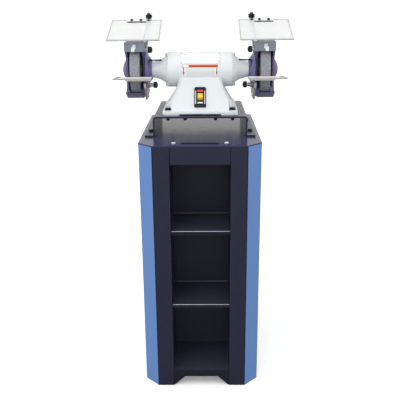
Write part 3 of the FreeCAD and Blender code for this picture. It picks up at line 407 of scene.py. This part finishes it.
# The radius, in mm, of each CAD node's softened edges
EDGE_RADIUS = {
    "cabinet_top": 1.0, "cabinet_side_panels": 0.7, "cabinet_rear_panel": 0.7, "corner_panels": 0.7,
    "front_posts": 0.7, "header_panel": 0.6, "kick_panel": 0.6, "bay_shelves": 0.6, "riser_bracket": 1.2,
    "riser_bolts": 0.5, "grinder_base": 1.6, "base_bolts": 0.6, "switch_body": 0.6, "switch_paddle": 0.6,
    "end_bell": 1.2, "motor_housing": 0.9, "through_bolts": 0.4, "spindle_nuts": 0.5, "wheel_guard": 1.0,
    "guard_cover": 1.4, "spark_arrestor": 0.7, "arrestor_screw": 0.5, "shield_clamp": 0.4,
    "shield_arm": 0.6, "shield_knob": 0.9, "arm_knob": 0.9, "rest_knob": 0.9, "rest_brackets": 0.9,
    "tool_rest": 0.9, "eye_shield": 0.6,
}
WELD_REACH = 0.000002        # metres
COPLANAR = math.radians(0.4)
HARD_EDGE = math.radians(32)

# Limits that tell the faces of one CAD node apart
FACING = 0.5                 # the share of a normal along an axis from which a face looks that way
FLAT = 0.9
GUARD_SPAN = (185.0, 256.0)  # the guard and its cover, along X
INNER_WALL_END = 195.0
OUTER_WALL_START = 249.0
INNER_WALL_RADIUS = 95.6
OUTER_WALL_RADIUS = 95.0
GUARD_RIM_RADII = (40.0, 97.0)
THROAT_X = (189.0, 257.0)
THROAT_Y = (-64.0, -36.0)
THROAT_LIP_TOP = 1012.0
BRACKET_BOLT_END = 182.3     # the rest bracket's bolts: nearer the motor, further back and
BRACKET_BOLT_FRONT = -62.0   # further from the spindle than these
BRACKET_BOLT_RADIUS = 80.0


# ---------------------------------------------------------------- places
def hand_matrix(hand):
    """Mirrors a right-hand piece to the left when hand is -1."""
    return Matrix.Scale(hand, 4, (1, 0, 0))


def shield_matrix(hand):
    """From shield coordinates (across, up, out) in metres to the frame."""
    placed = Matrix.Translation(Vector(SHIELD_FOOT) * MM) @ Matrix.Rotation(math.radians(SHIELD_TILT), 4, "X")
    return hand_matrix(hand) @ placed


def slope_matrix():
    """From switch coordinates (across, up the base's slope, out) in metres to the frame."""
    slope = math.atan2(BASE_TOP - FOOT_TOP, BASE_FOOT_HALF_DEPTH - BASE_TOP_HALF_DEPTH)
    share = (BASE_TOP - SWITCH_HEIGHT) / (BASE_TOP - FOOT_TOP)
    depth = BASE_TOP_HALF_DEPTH + (BASE_FOOT_HALF_DEPTH - BASE_TOP_HALF_DEPTH) * share
    return Matrix.Translation((0, -depth * MM, SWITCH_HEIGHT * MM)) @ Matrix.Rotation(slope, 4, "X")


def from_spindle(point):
    return math.hypot(point.y, point.z - SPINDLE_HEIGHT)


# ---------------------------------------------------------------- looks of the CAD nodes
def family_of(name):
    """A node's name without its side."""
    return name.replace("_right", "").replace("_left", "")


def soften(node, radius):
    """Rounds a CAD node's hard edges by a small radius, as paint, folding or casting would."""
    for polygon in node.data.polygons:
        polygon.use_smooth = True
    weld = node.modifiers.new("weld", "WELD")
    weld.merge_threshold = WELD_REACH
    flatten = node.modifiers.new("flatten", "DECIMATE")
    flatten.decimate_type = "DISSOLVE"
    flatten.angle_limit = COPLANAR
    flatten.delimit = {"MATERIAL"}
    bevel = node.modifiers.new("bevel", "BEVEL")
    bevel.width = radius * MM
    bevel.segments = 3
    bevel.limit_method = "ANGLE"
    bevel.angle_limit = HARD_EDGE
    bevel.harden_normals = True
    shade = node.modifiers.new("shade", "WEIGHTED_NORMAL")
    shade.keep_sharp = False


def repaint(family, material, chosen):
    """Gives some faces of a CAD node another finish.

    chosen gets each face's middle and normal, in mm and mirrored to the right, and says which.
    """
    for name, node in frame["nodes"].items():
        if family_of(name) != family:
            continue
        node.data.materials.append(material)
        index = len(node.data.materials) - 1
        for polygon in node.data.polygons:
            middle, normal = polygon.center / MM, polygon.normal.copy()
            if middle.x < 0:
                middle.x, normal.x = -middle.x, -normal.x
            if chosen(middle, normal):
                polygon.material_index = index


def bell_rim(point, normal):
    return point.x < BELL_RIM


def inside_guard(point, normal):
    """The faces that look at the wheel, which get a near-black painted shade."""
    radius = from_spindle(point)
    inwards = -(normal.y * point.y + normal.z * (point.z - SPINDLE_HEIGHT)) > FACING * radius
    inner_wall = point.x < INNER_WALL_END and normal.x > FACING
    outer_wall = point.x > OUTER_WALL_START and normal.x < -FACING and radius < OUTER_WALL_RADIUS
    on_rim = inwards and GUARD_RIM_RADII[0] < radius < GUARD_RIM_RADII[1]
    on_wall = (inner_wall or outer_wall) and radius < INNER_WALL_RADIUS
    return GUARD_SPAN[0] < point.x < GUARD_SPAN[1] and (on_rim or on_wall)


def throat_rim(point, normal):
    """The rim of the guard's opening, above its bottom lip, which gets painted shade beside the wheel."""
    across = THROAT_X[0] < point.x < THROAT_X[1]
    along = THROAT_Y[0] < point.y < THROAT_Y[1]
    return across and along and point.z > THROAT_LIP_TOP and normal.y < -FACING


def bracket_bolt(point, normal):
    """The heads of the bolts in the tool rest's bracket."""
    behind = point.x < BRACKET_BOLT_END and point.y > BRACKET_BOLT_FRONT
    return behind and from_spindle(point) > BRACKET_BOLT_RADIUS


def table_top(point, normal):
    return normal.z > FLAT and point.z > REST_TOP - 1


def rest_collar(point, normal):
    return point.x > REST_COLLAR_X


def arm_collar(point, normal):
    return point.x > ARM_COLLAR_X


def shelf_lip(point, normal):
    return normal.y < -FACING


def clamp_screw(point, normal):
    """The clamp's two screws, which stand out above the strip and below it."""
    local = shield_matrix(1.0).inverted() @ (point * MM) / MM
    return local.z > SHIELD_THICKNESS + 2.6 or local.z < SHIELD_THICKNESS - 0.2


def sheet_edge(point, normal):
    """The shield's narrow edges."""
    local = shield_matrix(1.0).inverted().to_3x3() @ normal
    return abs(local.z) < FACING


for name, node in frame["nodes"].items():
    node.data.materials.clear()
    node.data.materials.append(NODE_FINISH[family_of(name)])
    if family_of(name) in EDGE_RADIUS:
        soften(node, EDGE_RADIUS[family_of(name)])

repaint("end_bell", ENAMEL, bell_rim)
repaint("wheel_guard", GUARD_INSIDE_SHADE, inside_guard)
repaint("guard_cover", GUARD_INSIDE_SHADE, inside_guard)
# The rims of the guards' openings get painted shade close to the wheel
repaint("wheel_guard", GUARD_RIM_SHADE, throat_rim)
repaint("guard_cover", COVER_RIM_SHADE, throat_rim)
repaint("rest_brackets", BLACK_OXIDE, bracket_bolt)
repaint("tool_rest", GROUND_METAL, table_top)
repaint("rest_knob", ZINC, rest_collar)
repaint("arm_knob", ZINC, arm_collar)
# The shelves' front lips get the navy paint's painted shade
repaint("bay_shelves", NAVY_SHADE, shelf_lip)
repaint("shield_clamp", JET, clamp_screw)
repaint("eye_shield", CLEAR_EDGE, sheet_edge)


# ---------------------------------------------------------------- making pieces
ON_AXIS = 1e-6               # radii below this are on the axis of a turned solid
PATCH_STEP = 8               # mm along X between the corners of a curved plate
PATCH_TURN = 3               # degrees round it


def mesh_from(name, grown):
    """The mesh, in metres, of a bmesh in mm."""
    mesh = bpy.data.meshes.new(name)
    grown.to_mesh(mesh)
    grown.free()
    mesh.transform(Matrix.Scale(MM, 4))
    return mesh


def piece(name, maker, material, body, matrix=None, smooth=True):
    """A new object from a bmesh that maker fills in, riding on a CAD body."""
    grown = bmesh.new()
    maker(grown)
    bmesh.ops.recalc_face_normals(grown, faces=grown.faces)
    mesh = mesh_from(name, grown)
    if matrix is not None:
        mesh.transform(matrix)
        if matrix.determinant() < 0:
            mesh.flip_normals()
    mesh.materials.append(material)
    for polygon in mesh.polygons:
        polygon.use_smooth = smooth
    made = bpy.data.objects.new(name, mesh)
    bpy.context.scene.collection.objects.link(made)
    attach(made, body)
    return made


def add_box(grown, x0, x1, y0, y1, z0, z1, soft):
    """A box in mm, with its edges rounded by soft."""
    made = bmesh.ops.create_cube(grown, size=1.0)
    for vertex in made["verts"]:
        vertex.co = Vector(((x0 + x1) / 2 + vertex.co.x * (x1 - x0), (y0 + y1) / 2 + vertex.co.y * (y1 - y0),
                            (z0 + z1) / 2 + vertex.co.z * (z1 - z0)))
    edges = {edge for vertex in made["verts"] for edge in vertex.link_edges}
    bmesh.ops.bevel(grown, geom=list(edges), offset=soft, segments=3, profile=0.5, affect="EDGES")


def add_turned(grown, outline, steps, placed):
    """A solid turned about Z from (radius, height) points: both ends on the axis, or a ring."""
    rings = []
    for radius, height in outline:
        if radius < ON_AXIS:
            rings.append([grown.verts.new(placed @ Vector((0, 0, height)))] * steps)
            continue
        ring = []
        for i in range(steps):
            turn = 2 * math.pi * i / steps
            corner = Vector((radius * math.cos(turn), radius * math.sin(turn), height))
            ring.append(grown.verts.new(placed @ corner))
        rings.append(ring)
    pairs = list(zip(rings, rings[1:]))
    if outline[0][0] > ON_AXIS:
        pairs.append((rings[-1], rings[0]))
    for low, high in pairs:
        for i in range(steps):
            j = (i + 1) % steps
            corners = []
            for vertex in (low[i], low[j], high[j], high[i]):
                if vertex not in corners:
                    corners.append(vertex)
            grown.faces.new(corners)


def barrel_point(x, out, angle):
    """A point out mm from the spindle's axis, at an angle above the front horizontal."""
    return Vector((x, -out * math.cos(angle), SPINDLE_HEIGHT + out * math.sin(angle)))


def barrel_patch(grown, x0, x1, low, high, lift, thick):
    """A curved plate on the motor barrel, from x0 to x1 in mm and from low to high in degrees."""
    columns = max(2, int((x1 - x0) / PATCH_STEP))
    rows = max(2, int((high - low) / PATCH_TURN))
    layers = []
    for out in (MOTOR_RADIUS + lift, MOTOR_RADIUS + lift + thick):
        sheet = []
        for j in range(rows + 1):
            angle = math.radians(low + (high - low) * j / rows)
            sheet.append([grown.verts.new(barrel_point(x0 + (x1 - x0) * i / columns, out, angle))
                          for i in range(columns + 1)])
        layers.append(sheet)
    inner, outer = layers
    for j in range(rows):
        for i in range(columns):
            for sheet in layers:
                grown.faces.new((sheet[j][i], sheet[j][i + 1], sheet[j + 1][i + 1], sheet[j + 1][i]))
    for j in range(rows):
        for i in (0, columns):
            grown.faces.new((inner[j][i], inner[j + 1][i], outer[j + 1][i], outer[j][i]))
    for i in range(columns):
        for j in (0, rows):
            grown.faces.new((inner[j][i], inner[j][i + 1], outer[j][i + 1], outer[j][i]))


# ---------------------------------------------------------------- motor labels
# Each patch of a label is x0, x1 in mm and low, high in degrees above the front horizontal.
LABEL_THICK = 0.5
INK_THICK = 0.25
DATA_PLATE = (-70, 71, 23, 69.5)
DATA_RULES = [(-58, -44, 60, 63.5), (-60, -30, 46, 47.6), (-22, 14, 46, 47.6), (22, 58, 46, 47.6),
              (-60, 8, 38, 39.4), (18, 58, 38, 39.4)]
NOTICE_PLATE = (-61, 61, -20.5, 20.5)
NOTICE_BAND = (-39, 60, 11, 20)
NOTICE_FRAME = [(-60.5, -39, 18.8, 20), (-60.5, -59.3, 11, 18.8), (-60.5, -39, 11, 12.1)]
NOTICE_RULES = [(-50, 50, angle, angle + 1.6) for angle in (6, 2, -2, -6, -10, -14)]
ARROW_X = 56.7
ARROW_PARTS = ((1.2, -3, 10), (2.6, -6, -3), (1.9, -9.5, -6), (1.0, -13, -9.5))   # half width, low, high
ARROWS = [(middle - half, middle + half, low, high) for middle in (-ARROW_X, ARROW_X)
          for half, low, high in ARROW_PARTS]
RIVET = [(0, 0), (2.4, 0), (2.2, 0.7), (1.4, 1.2), (0, 1.4)]
RIVET_X = 64
RIVET_ANGLES = (29, 64)


def patches(name, places, lift, thick, material):
    """One piece made of curved plates on the motor barrel."""
    def fill(grown):
        for place in places:
            barrel_patch(grown, *place, lift, thick)
    piece(name, fill, material, "stand")


def plate_rivets(grown):
    """The four rivets of the data plate."""
    out = MOTOR_RADIUS + LABEL_THICK
    for angle in RIVET_ANGLES:
        for x in (-RIVET_X, RIVET_X):
            turn = math.radians(angle)
            upright = Matrix.Rotation(math.pi / 2 - turn, 4, "X")
            add_turned(grown, RIVET, 20, Matrix.Translation(barrel_point(x, out, turn)) @ upright)


patches("data_plate", [DATA_PLATE], 0, LABEL_THICK, LABEL)
patches("notice_plate", [NOTICE_PLATE], 0, LABEL_THICK, LABEL)
patches("notice_band", [NOTICE_BAND], LABEL_THICK, INK_THICK, LABEL_BAND)
patches("notice_lead_in", NOTICE_FRAME, LABEL_THICK, INK_THICK, LABEL_BAND)
patches("notice_marks", ARROWS, LABEL_THICK, INK_THICK, LABEL_MARK)
patches("notice_rules", NOTICE_RULES, LABEL_THICK, INK_THICK, LABEL_INK)
patches("data_rules", DATA_RULES, LABEL_THICK, INK_THICK, LABEL_INK)
piece("plate_rivets", plate_rivets, ZINC, "stand")


# ---------------------------------------------------------------- switch
def switch_rails(grown):
    """The bright rails on both sides of the key."""
    inner, outer, half_length = 13.2, 17.4, 27.5
    for x0, x1 in ((-outer, -inner), (inner, outer)):
        add_box(grown, x0, x1, -half_length, half_length, 2, 5.2, soft=0.8)


def switch_ridges(grown):
    """Two grip ridges at each end of the switch's body."""
    half_width, half_thick = 15.5, 0.7
    for up in (-34.5, -31, 31, 34.5):
        add_box(grown, -half_width, half_width, up - half_thick, up + half_thick, 8.8, 9.8, soft=0.3)


def switch_window(grown):
    """The red mark above the key."""
    add_box(grown, -10, 10, 19.1, 26.8, 6.2, 7.7, soft=0.4)


def switch_bar(grown):
    """The white mark below the key."""
    add_box(grown, -9, 9, -25.5, -21, 6.8, 7.7, soft=0.3)


on_switch = slope_matrix()
piece("switch_rails", switch_rails, ZINC, "stand", on_switch)
piece("switch_ridges", switch_ridges, BLACK, "stand", on_switch)
piece("switch_window", switch_window, RED, "stand", on_switch)
piece("switch_bar", switch_bar, WHITE, "stand", on_switch)


# ---------------------------------------------------------------- cabinet and riser
NUT_DROP = 17.5              # from the riser plate's underside to the tip of a closed nut
NUT_OUTLINE = [(0, 0), (3.4, 0.7), (5.6, 2.6), (6.4, 5.4), (6.4, 8.4), (8.8, 8.8), (8.8, 17), (0, 17)]
INNER_NUT_X = 52
SEAM_TOP = TOP_UNDERSIDE - 0.5


def shelf_edges(grown):
    """A painted highlight: a bright strip along the front edge of each shelf."""
    half = BAY_HALF - 1
    for top in SHELF_TOPS:
        add_box(grown, -half, half, SHELF_FRONT - 0.7, SHELF_FRONT + 1.4, top - 1.5, top + 0.5, soft=0.6)


def shelf_returns(grown):
    """The low upturned flange where each shelf meets the bay's back, in pale grey: a painted highlight along
    it.
    """
    half = BAY_HALF - 2
    for top in SHELF_TOPS:
        add_box(grown, -half, half, BAY_BACK - 2.4, BAY_BACK + 0.2, top - 0.5, top + 2.4, soft=0.7)


def front_seams(grown):
    """Dark strips beside the front posts, to the corner panels and to the header: painted shade in the gaps.
    """
    front = -HALF_DEPTH
    for x in (-HALF_FRONT, HALF_FRONT):
        add_box(grown, x - 1.1, x + 1.1, front - 0.35, front + 0.6, 1, SEAM_TOP, soft=0.25)
    header = front + SHEET
    for x, half in ((1.2 - BAY_HALF, 1.2), (BAY_HALF - 0.7, 0.7)):
        add_box(grown, x - half, x + half, header - 0.4, header + 0.4, HEADER_BOTTOM, SEAM_TOP, soft=0.2)


def slot_trim(grown):
    """Rubber edging round the cable slot in the cabinet's top."""
    x, back, front, wide = 60, -272, -284, 2.6
    low, high = CABINET_HEIGHT - 2.5, CABINET_HEIGHT + 1.2
    for y in (back, front - wide):
        add_box(grown, -x - wide, x + wide, y, y + wide, low, high, soft=0.9)
    for side in (-x - wide, x):
        add_box(grown, side, side + wide, front, back, low, high, soft=0.9)


def acorn_nuts(grown):
    """Closed nuts under the riser's plate, on the base's front bolts and two between them."""
    for x in (-BASE_BOLT_X, -INNER_NUT_X, INNER_NUT_X, BASE_BOLT_X):
        placed = Matrix.Translation((x, -BASE_BOLT_Y, RISER_UNDERSIDE - NUT_DROP))
        add_turned(grown, NUT_OUTLINE, 24, placed)


piece("shelf_edges", shelf_edges, EDGE_HIGHLIGHT, "stand")
piece("shelf_returns", shelf_returns, RETURN_HIGHLIGHT, "stand")
piece("front_seams", front_seams, GAP_SHADE, "stand")
piece("slot_trim", slot_trim, BLACK, "stand")
piece("acorn_nuts", acorn_nuts, BLACK_OXIDE, "stand")


# ---------------------------------------------------------------- eye shields
SWIVEL_NUT = [(0, 0), (4.4, 0), (4.4, 2.4), (3.7, 3.1), (0, 3.1)]


def clamp_shadow_strip(grown):
    """A black strip below the steel clamp: painted shadow of the clamp on the sheet."""
    low, high = SHIELD_THICKNESS, SHIELD_THICKNESS + 3.0
    add_box(grown, -33, 33, SHIELD_LENGTH - 23.4, SHIELD_LENGTH - 20.1, low, high, soft=0.5)


def swivel_nut(grown):
    """The black nut that holds the sheet beside the swivel."""
    placed = Matrix.Translation((SWIVEL_ACROSS, SHIELD_LENGTH - 6.5, SHIELD_THICKNESS - 0.1))
    add_turned(grown, SWIVEL_NUT, 6, placed)


def shield_fold(grown):
    """The shallow crease down the sheet beside the arm."""
    low, high = SHIELD_THICKNESS - 0.2, SHIELD_THICKNESS + 0.35
    add_box(grown, -37.0, -36.2, 6, SHIELD_LENGTH - 24, low, high, soft=0.15)


def shield_rim(grown):
    """A raised border moulded round the sheet."""
    inset, wide = 3.4, 1.6
    low, high = SHIELD_THICKNESS - 0.2, SHIELD_THICKNESS + 0.7
    x0, x1, y0, y1 = inset - SHIELD_HALF, SHIELD_HALF - inset, inset, SHIELD_LENGTH - inset
    for a, b, c, d in ((x0, x1, y0, y0 + wide), (x0, x1, y1 - wide, y1), (x0, x0 + wide, y0, y1),
                       (x1 - wide, x1, y0, y1)):
        add_box(grown, a, b, c, d, low, high, soft=0.3)


for side, hand in SIDES:
    placed = shield_matrix(hand)
    # The black strip under each clamp is a painted shadow
    piece("clamp_gasket_" + side, clamp_shadow_strip, JET, "shield_" + side, placed)
    piece("swivel_nut_" + side, swivel_nut, JET, "shield_" + side, placed, smooth=False)
    piece("shield_fold_" + side, shield_fold, CLEAR_EDGE, "shield_" + side, placed)
    piece("shield_rim_" + side, shield_rim, CLEAR_EDGE, "shield_" + side, placed)


# ---------------------------------------------------------------- tool rests
RIDGES = 7
RIDGE_PITCH = 2.6
RIDGE_MARGIN = 3.2           # from the table's outer edge to the first ridge
RIDGE_HALF = 0.8


def rest_serrations(grown):
    """Fine ridges across the bevelled outer end of the table."""
    foot, crest = REST_TOP - 0.1, REST_TOP + 0.55
    for i in range(RIDGES):
        ends = []
        for y in (REST_BACK - 1.4, REST_FRONT + 1.4):
            share = (y - REST_BACK) / (REST_FRONT - REST_BACK)
            edge = REST_OUTER_BACK + (REST_OUTER_FRONT - REST_OUTER_BACK) * share
            ends.append((edge - RIDGE_MARGIN - RIDGE_PITCH * i, y))
        a, b, c, d = [grown.verts.new((x + shift, y, foot)) for x, y in ends
                      for shift in (-RIDGE_HALF, RIDGE_HALF)]
        back, front = [grown.verts.new((x, y, crest)) for x, y in ends]
        for corners in ((a, c, front, back), (d, b, back, front), (a, back, b), (c, d, front), (a, b, d, c)):
            grown.faces.new(corners)


for side, hand in SIDES:
    piece("rest_serrations_" + side, rest_serrations, CAST_METAL, "tool_rest_" + side,
          hand_matrix(hand), smooth=False)


# ---------------------------------------------------------------- grinding wheels
BLOTTER_OUTLINE = [(12, -0.5), (34, -0.5), (34.3, 0), (34, 0.5), (12, 0.5)]
BLOTTER_OFFSET = WHEEL_HALF + 0.5


def blotters(grown):
    """The paper washers between the wheel and its flanges."""
    for x in (WHEEL_X - BLOTTER_OFFSET, WHEEL_X + BLOTTER_OFFSET):
        placed = Matrix.Translation((x, 0, SPINDLE_HEIGHT)) @ Matrix.Rotation(math.pi / 2, 4, "Y")
        add_turned(grown, BLOTTER_OUTLINE, 64, placed)


for side, hand in SIDES:
    piece("blotters_" + side, blotters, BLOTTER, "spindle_assembly", hand_matrix(hand))


# ---------------------------------------------------------------- room, light and camera
FLOOR_RADIUS = 60000         # mm
# The world's strength by the Z of the direction: 0 is the horizon, and 1 is straight up. Below
# the horizon it keeps its first value.
SKY = ((0.02, 1.04), (0.1, 0.9), (0.5, 1.0), (1.0, 1.25))
# Name, place, target, diameter, watts, whether it shows in reflections, and spread in degrees
LIGHTS = (
    ("key", (-1.5, -2.4, 3.4), (0, 0, 0.9), 1.8, 20, True, 180),
    ("front", (0.0, -3.4, 0.35), (0, 0, 0.3), 1.4, 16, False, 180),
    ("left", (-3.0, -0.5, 1.4), (0, 0, 0.9), 1.8, 22, False, 180),
    ("right", (3.0, -0.5, 1.4), (0, 0, 0.9), 1.8, 16, False, 180),
    ("bell_left", (-2.2, -1.3, 1.7), (0, 0, 1.16), 0.6, 0.2, False, 24),
    ("bell_right", (2.2, -1.3, 1.7), (0, 0, 1.16), 0.6, 0.25, False, 24),
)
FOCAL_MM = 55.137
SENSOR_MM = 36.0
PITCH = math.radians(17.588)
YAW = math.radians(0.732)
ROLL = math.radians(-0.441)
CAMERA_PLACE = (0.02339, -2.19451, 1.28849)


def stage_floor(name, shade, height, glow=0.0):
    """A wide, matt floor that isn't part of the object."""
    made = Finish(name, Roughness=0.9, Specular_IOR_Level=0.1, Emission_Strength=glow)
    made.colour(made.blend(made.noise(size=0.6, detail=2.0), grey(shade), grey(shade + 0.02)))
    grown = bmesh.new()
    bmesh.ops.create_circle(grown, cap_ends=True, segments=96, radius=FLOOR_RADIUS)
    mesh = mesh_from(name, grown)
    mesh.transform(Matrix.Translation((0, 0, height)))
    mesh.materials.append(made.material)
    made_floor = bpy.data.objects.new(name, mesh)
    bpy.context.scene.collection.objects.link(made_floor)
    return made_floor


def floors():
    """A pale floor for the camera, and a greyer one under it that lights the undersides softly."""
    seen = stage_floor("floor", 0.96, 0.0, glow=0.2)
    seen.visible_diffuse = False
    seen.visible_glossy = False
    bounce = stage_floor("floor_bounce", 0.4, -0.001)
    bounce.visible_camera = False
    bounce.visible_transmission = False


def area_light(name, place, target, size, power, glossy, spread):
    light = bpy.data.lights.new(name, "AREA")
    light.shape = "DISK"
    light.size = size
    light.energy = power
    light.spread = math.radians(spread)
    made = bpy.data.objects.new(name, light)
    made.location = place
    made.rotation_mode = "QUATERNION"
    made.rotation_quaternion = (Vector(target) - Vector(place)).to_track_quat("-Z", "Y")
    made.visible_glossy = glossy
    bpy.context.scene.collection.objects.link(made)


def world():
    """A white room, dimmest just above the horizon and brightest overhead."""
    made = bpy.data.worlds.new("studio")
    bpy.context.scene.world = made
    made.use_nodes = True
    tree = made.node_tree
    backing = tree.nodes["Background"]
    backing.inputs["Color"].default_value = grey(1.0)
    place = tree.nodes.new("ShaderNodeTexCoord")
    split = tree.nodes.new("ShaderNodeSeparateXYZ")
    sky = tree.nodes.new("ShaderNodeValToRGB")
    tree.links.new(place.outputs["Generated"], split.inputs["Vector"])
    tree.links.new(split.outputs["Z"], sky.inputs["Fac"])
    tree.links.new(sky.outputs["Color"], backing.inputs["Strength"])
    set_ramp(sky.color_ramp, [(position, grey(strength)) for position, strength in SKY])


def studio():
    """The room, its lights and plain colour handling."""
    world()
    for light in LIGHTS:
        area_light(*light)
    view = bpy.context.scene.view_settings
    view.view_transform = "Standard"
    view.look = "None"


def camera():
    """A level camera that is turned by YAW, tipped down by PITCH and rolled by ROLL."""
    right = Vector((math.cos(YAW), math.sin(YAW), 0))
    ahead = Vector((-math.sin(YAW), math.cos(YAW), 0))
    level = Vector((0, 0, 1))
    forward = math.cos(PITCH) * ahead - math.sin(PITCH) * level
    up = math.sin(PITCH) * ahead + math.cos(PITCH) * level
    x_axis = math.cos(ROLL) * right + math.sin(ROLL) * up
    y_axis = math.cos(ROLL) * up - math.sin(ROLL) * right
    turn = Matrix((x_axis, y_axis, -forward)).transposed()
    data = bpy.data.cameras.new("camera")
    data.lens = FOCAL_MM
    data.sensor_width = SENSOR_MM
    data.clip_start = 0.05
    data.clip_end = 200.0
    made = bpy.data.objects.new("camera", data)
    made.matrix_world = Matrix.Translation(CAMERA_PLACE) @ turn.to_4x4()
    bpy.context.scene.collection.objects.link(made)
    bpy.context.scene.camera = made


floors()
studio()
camera()
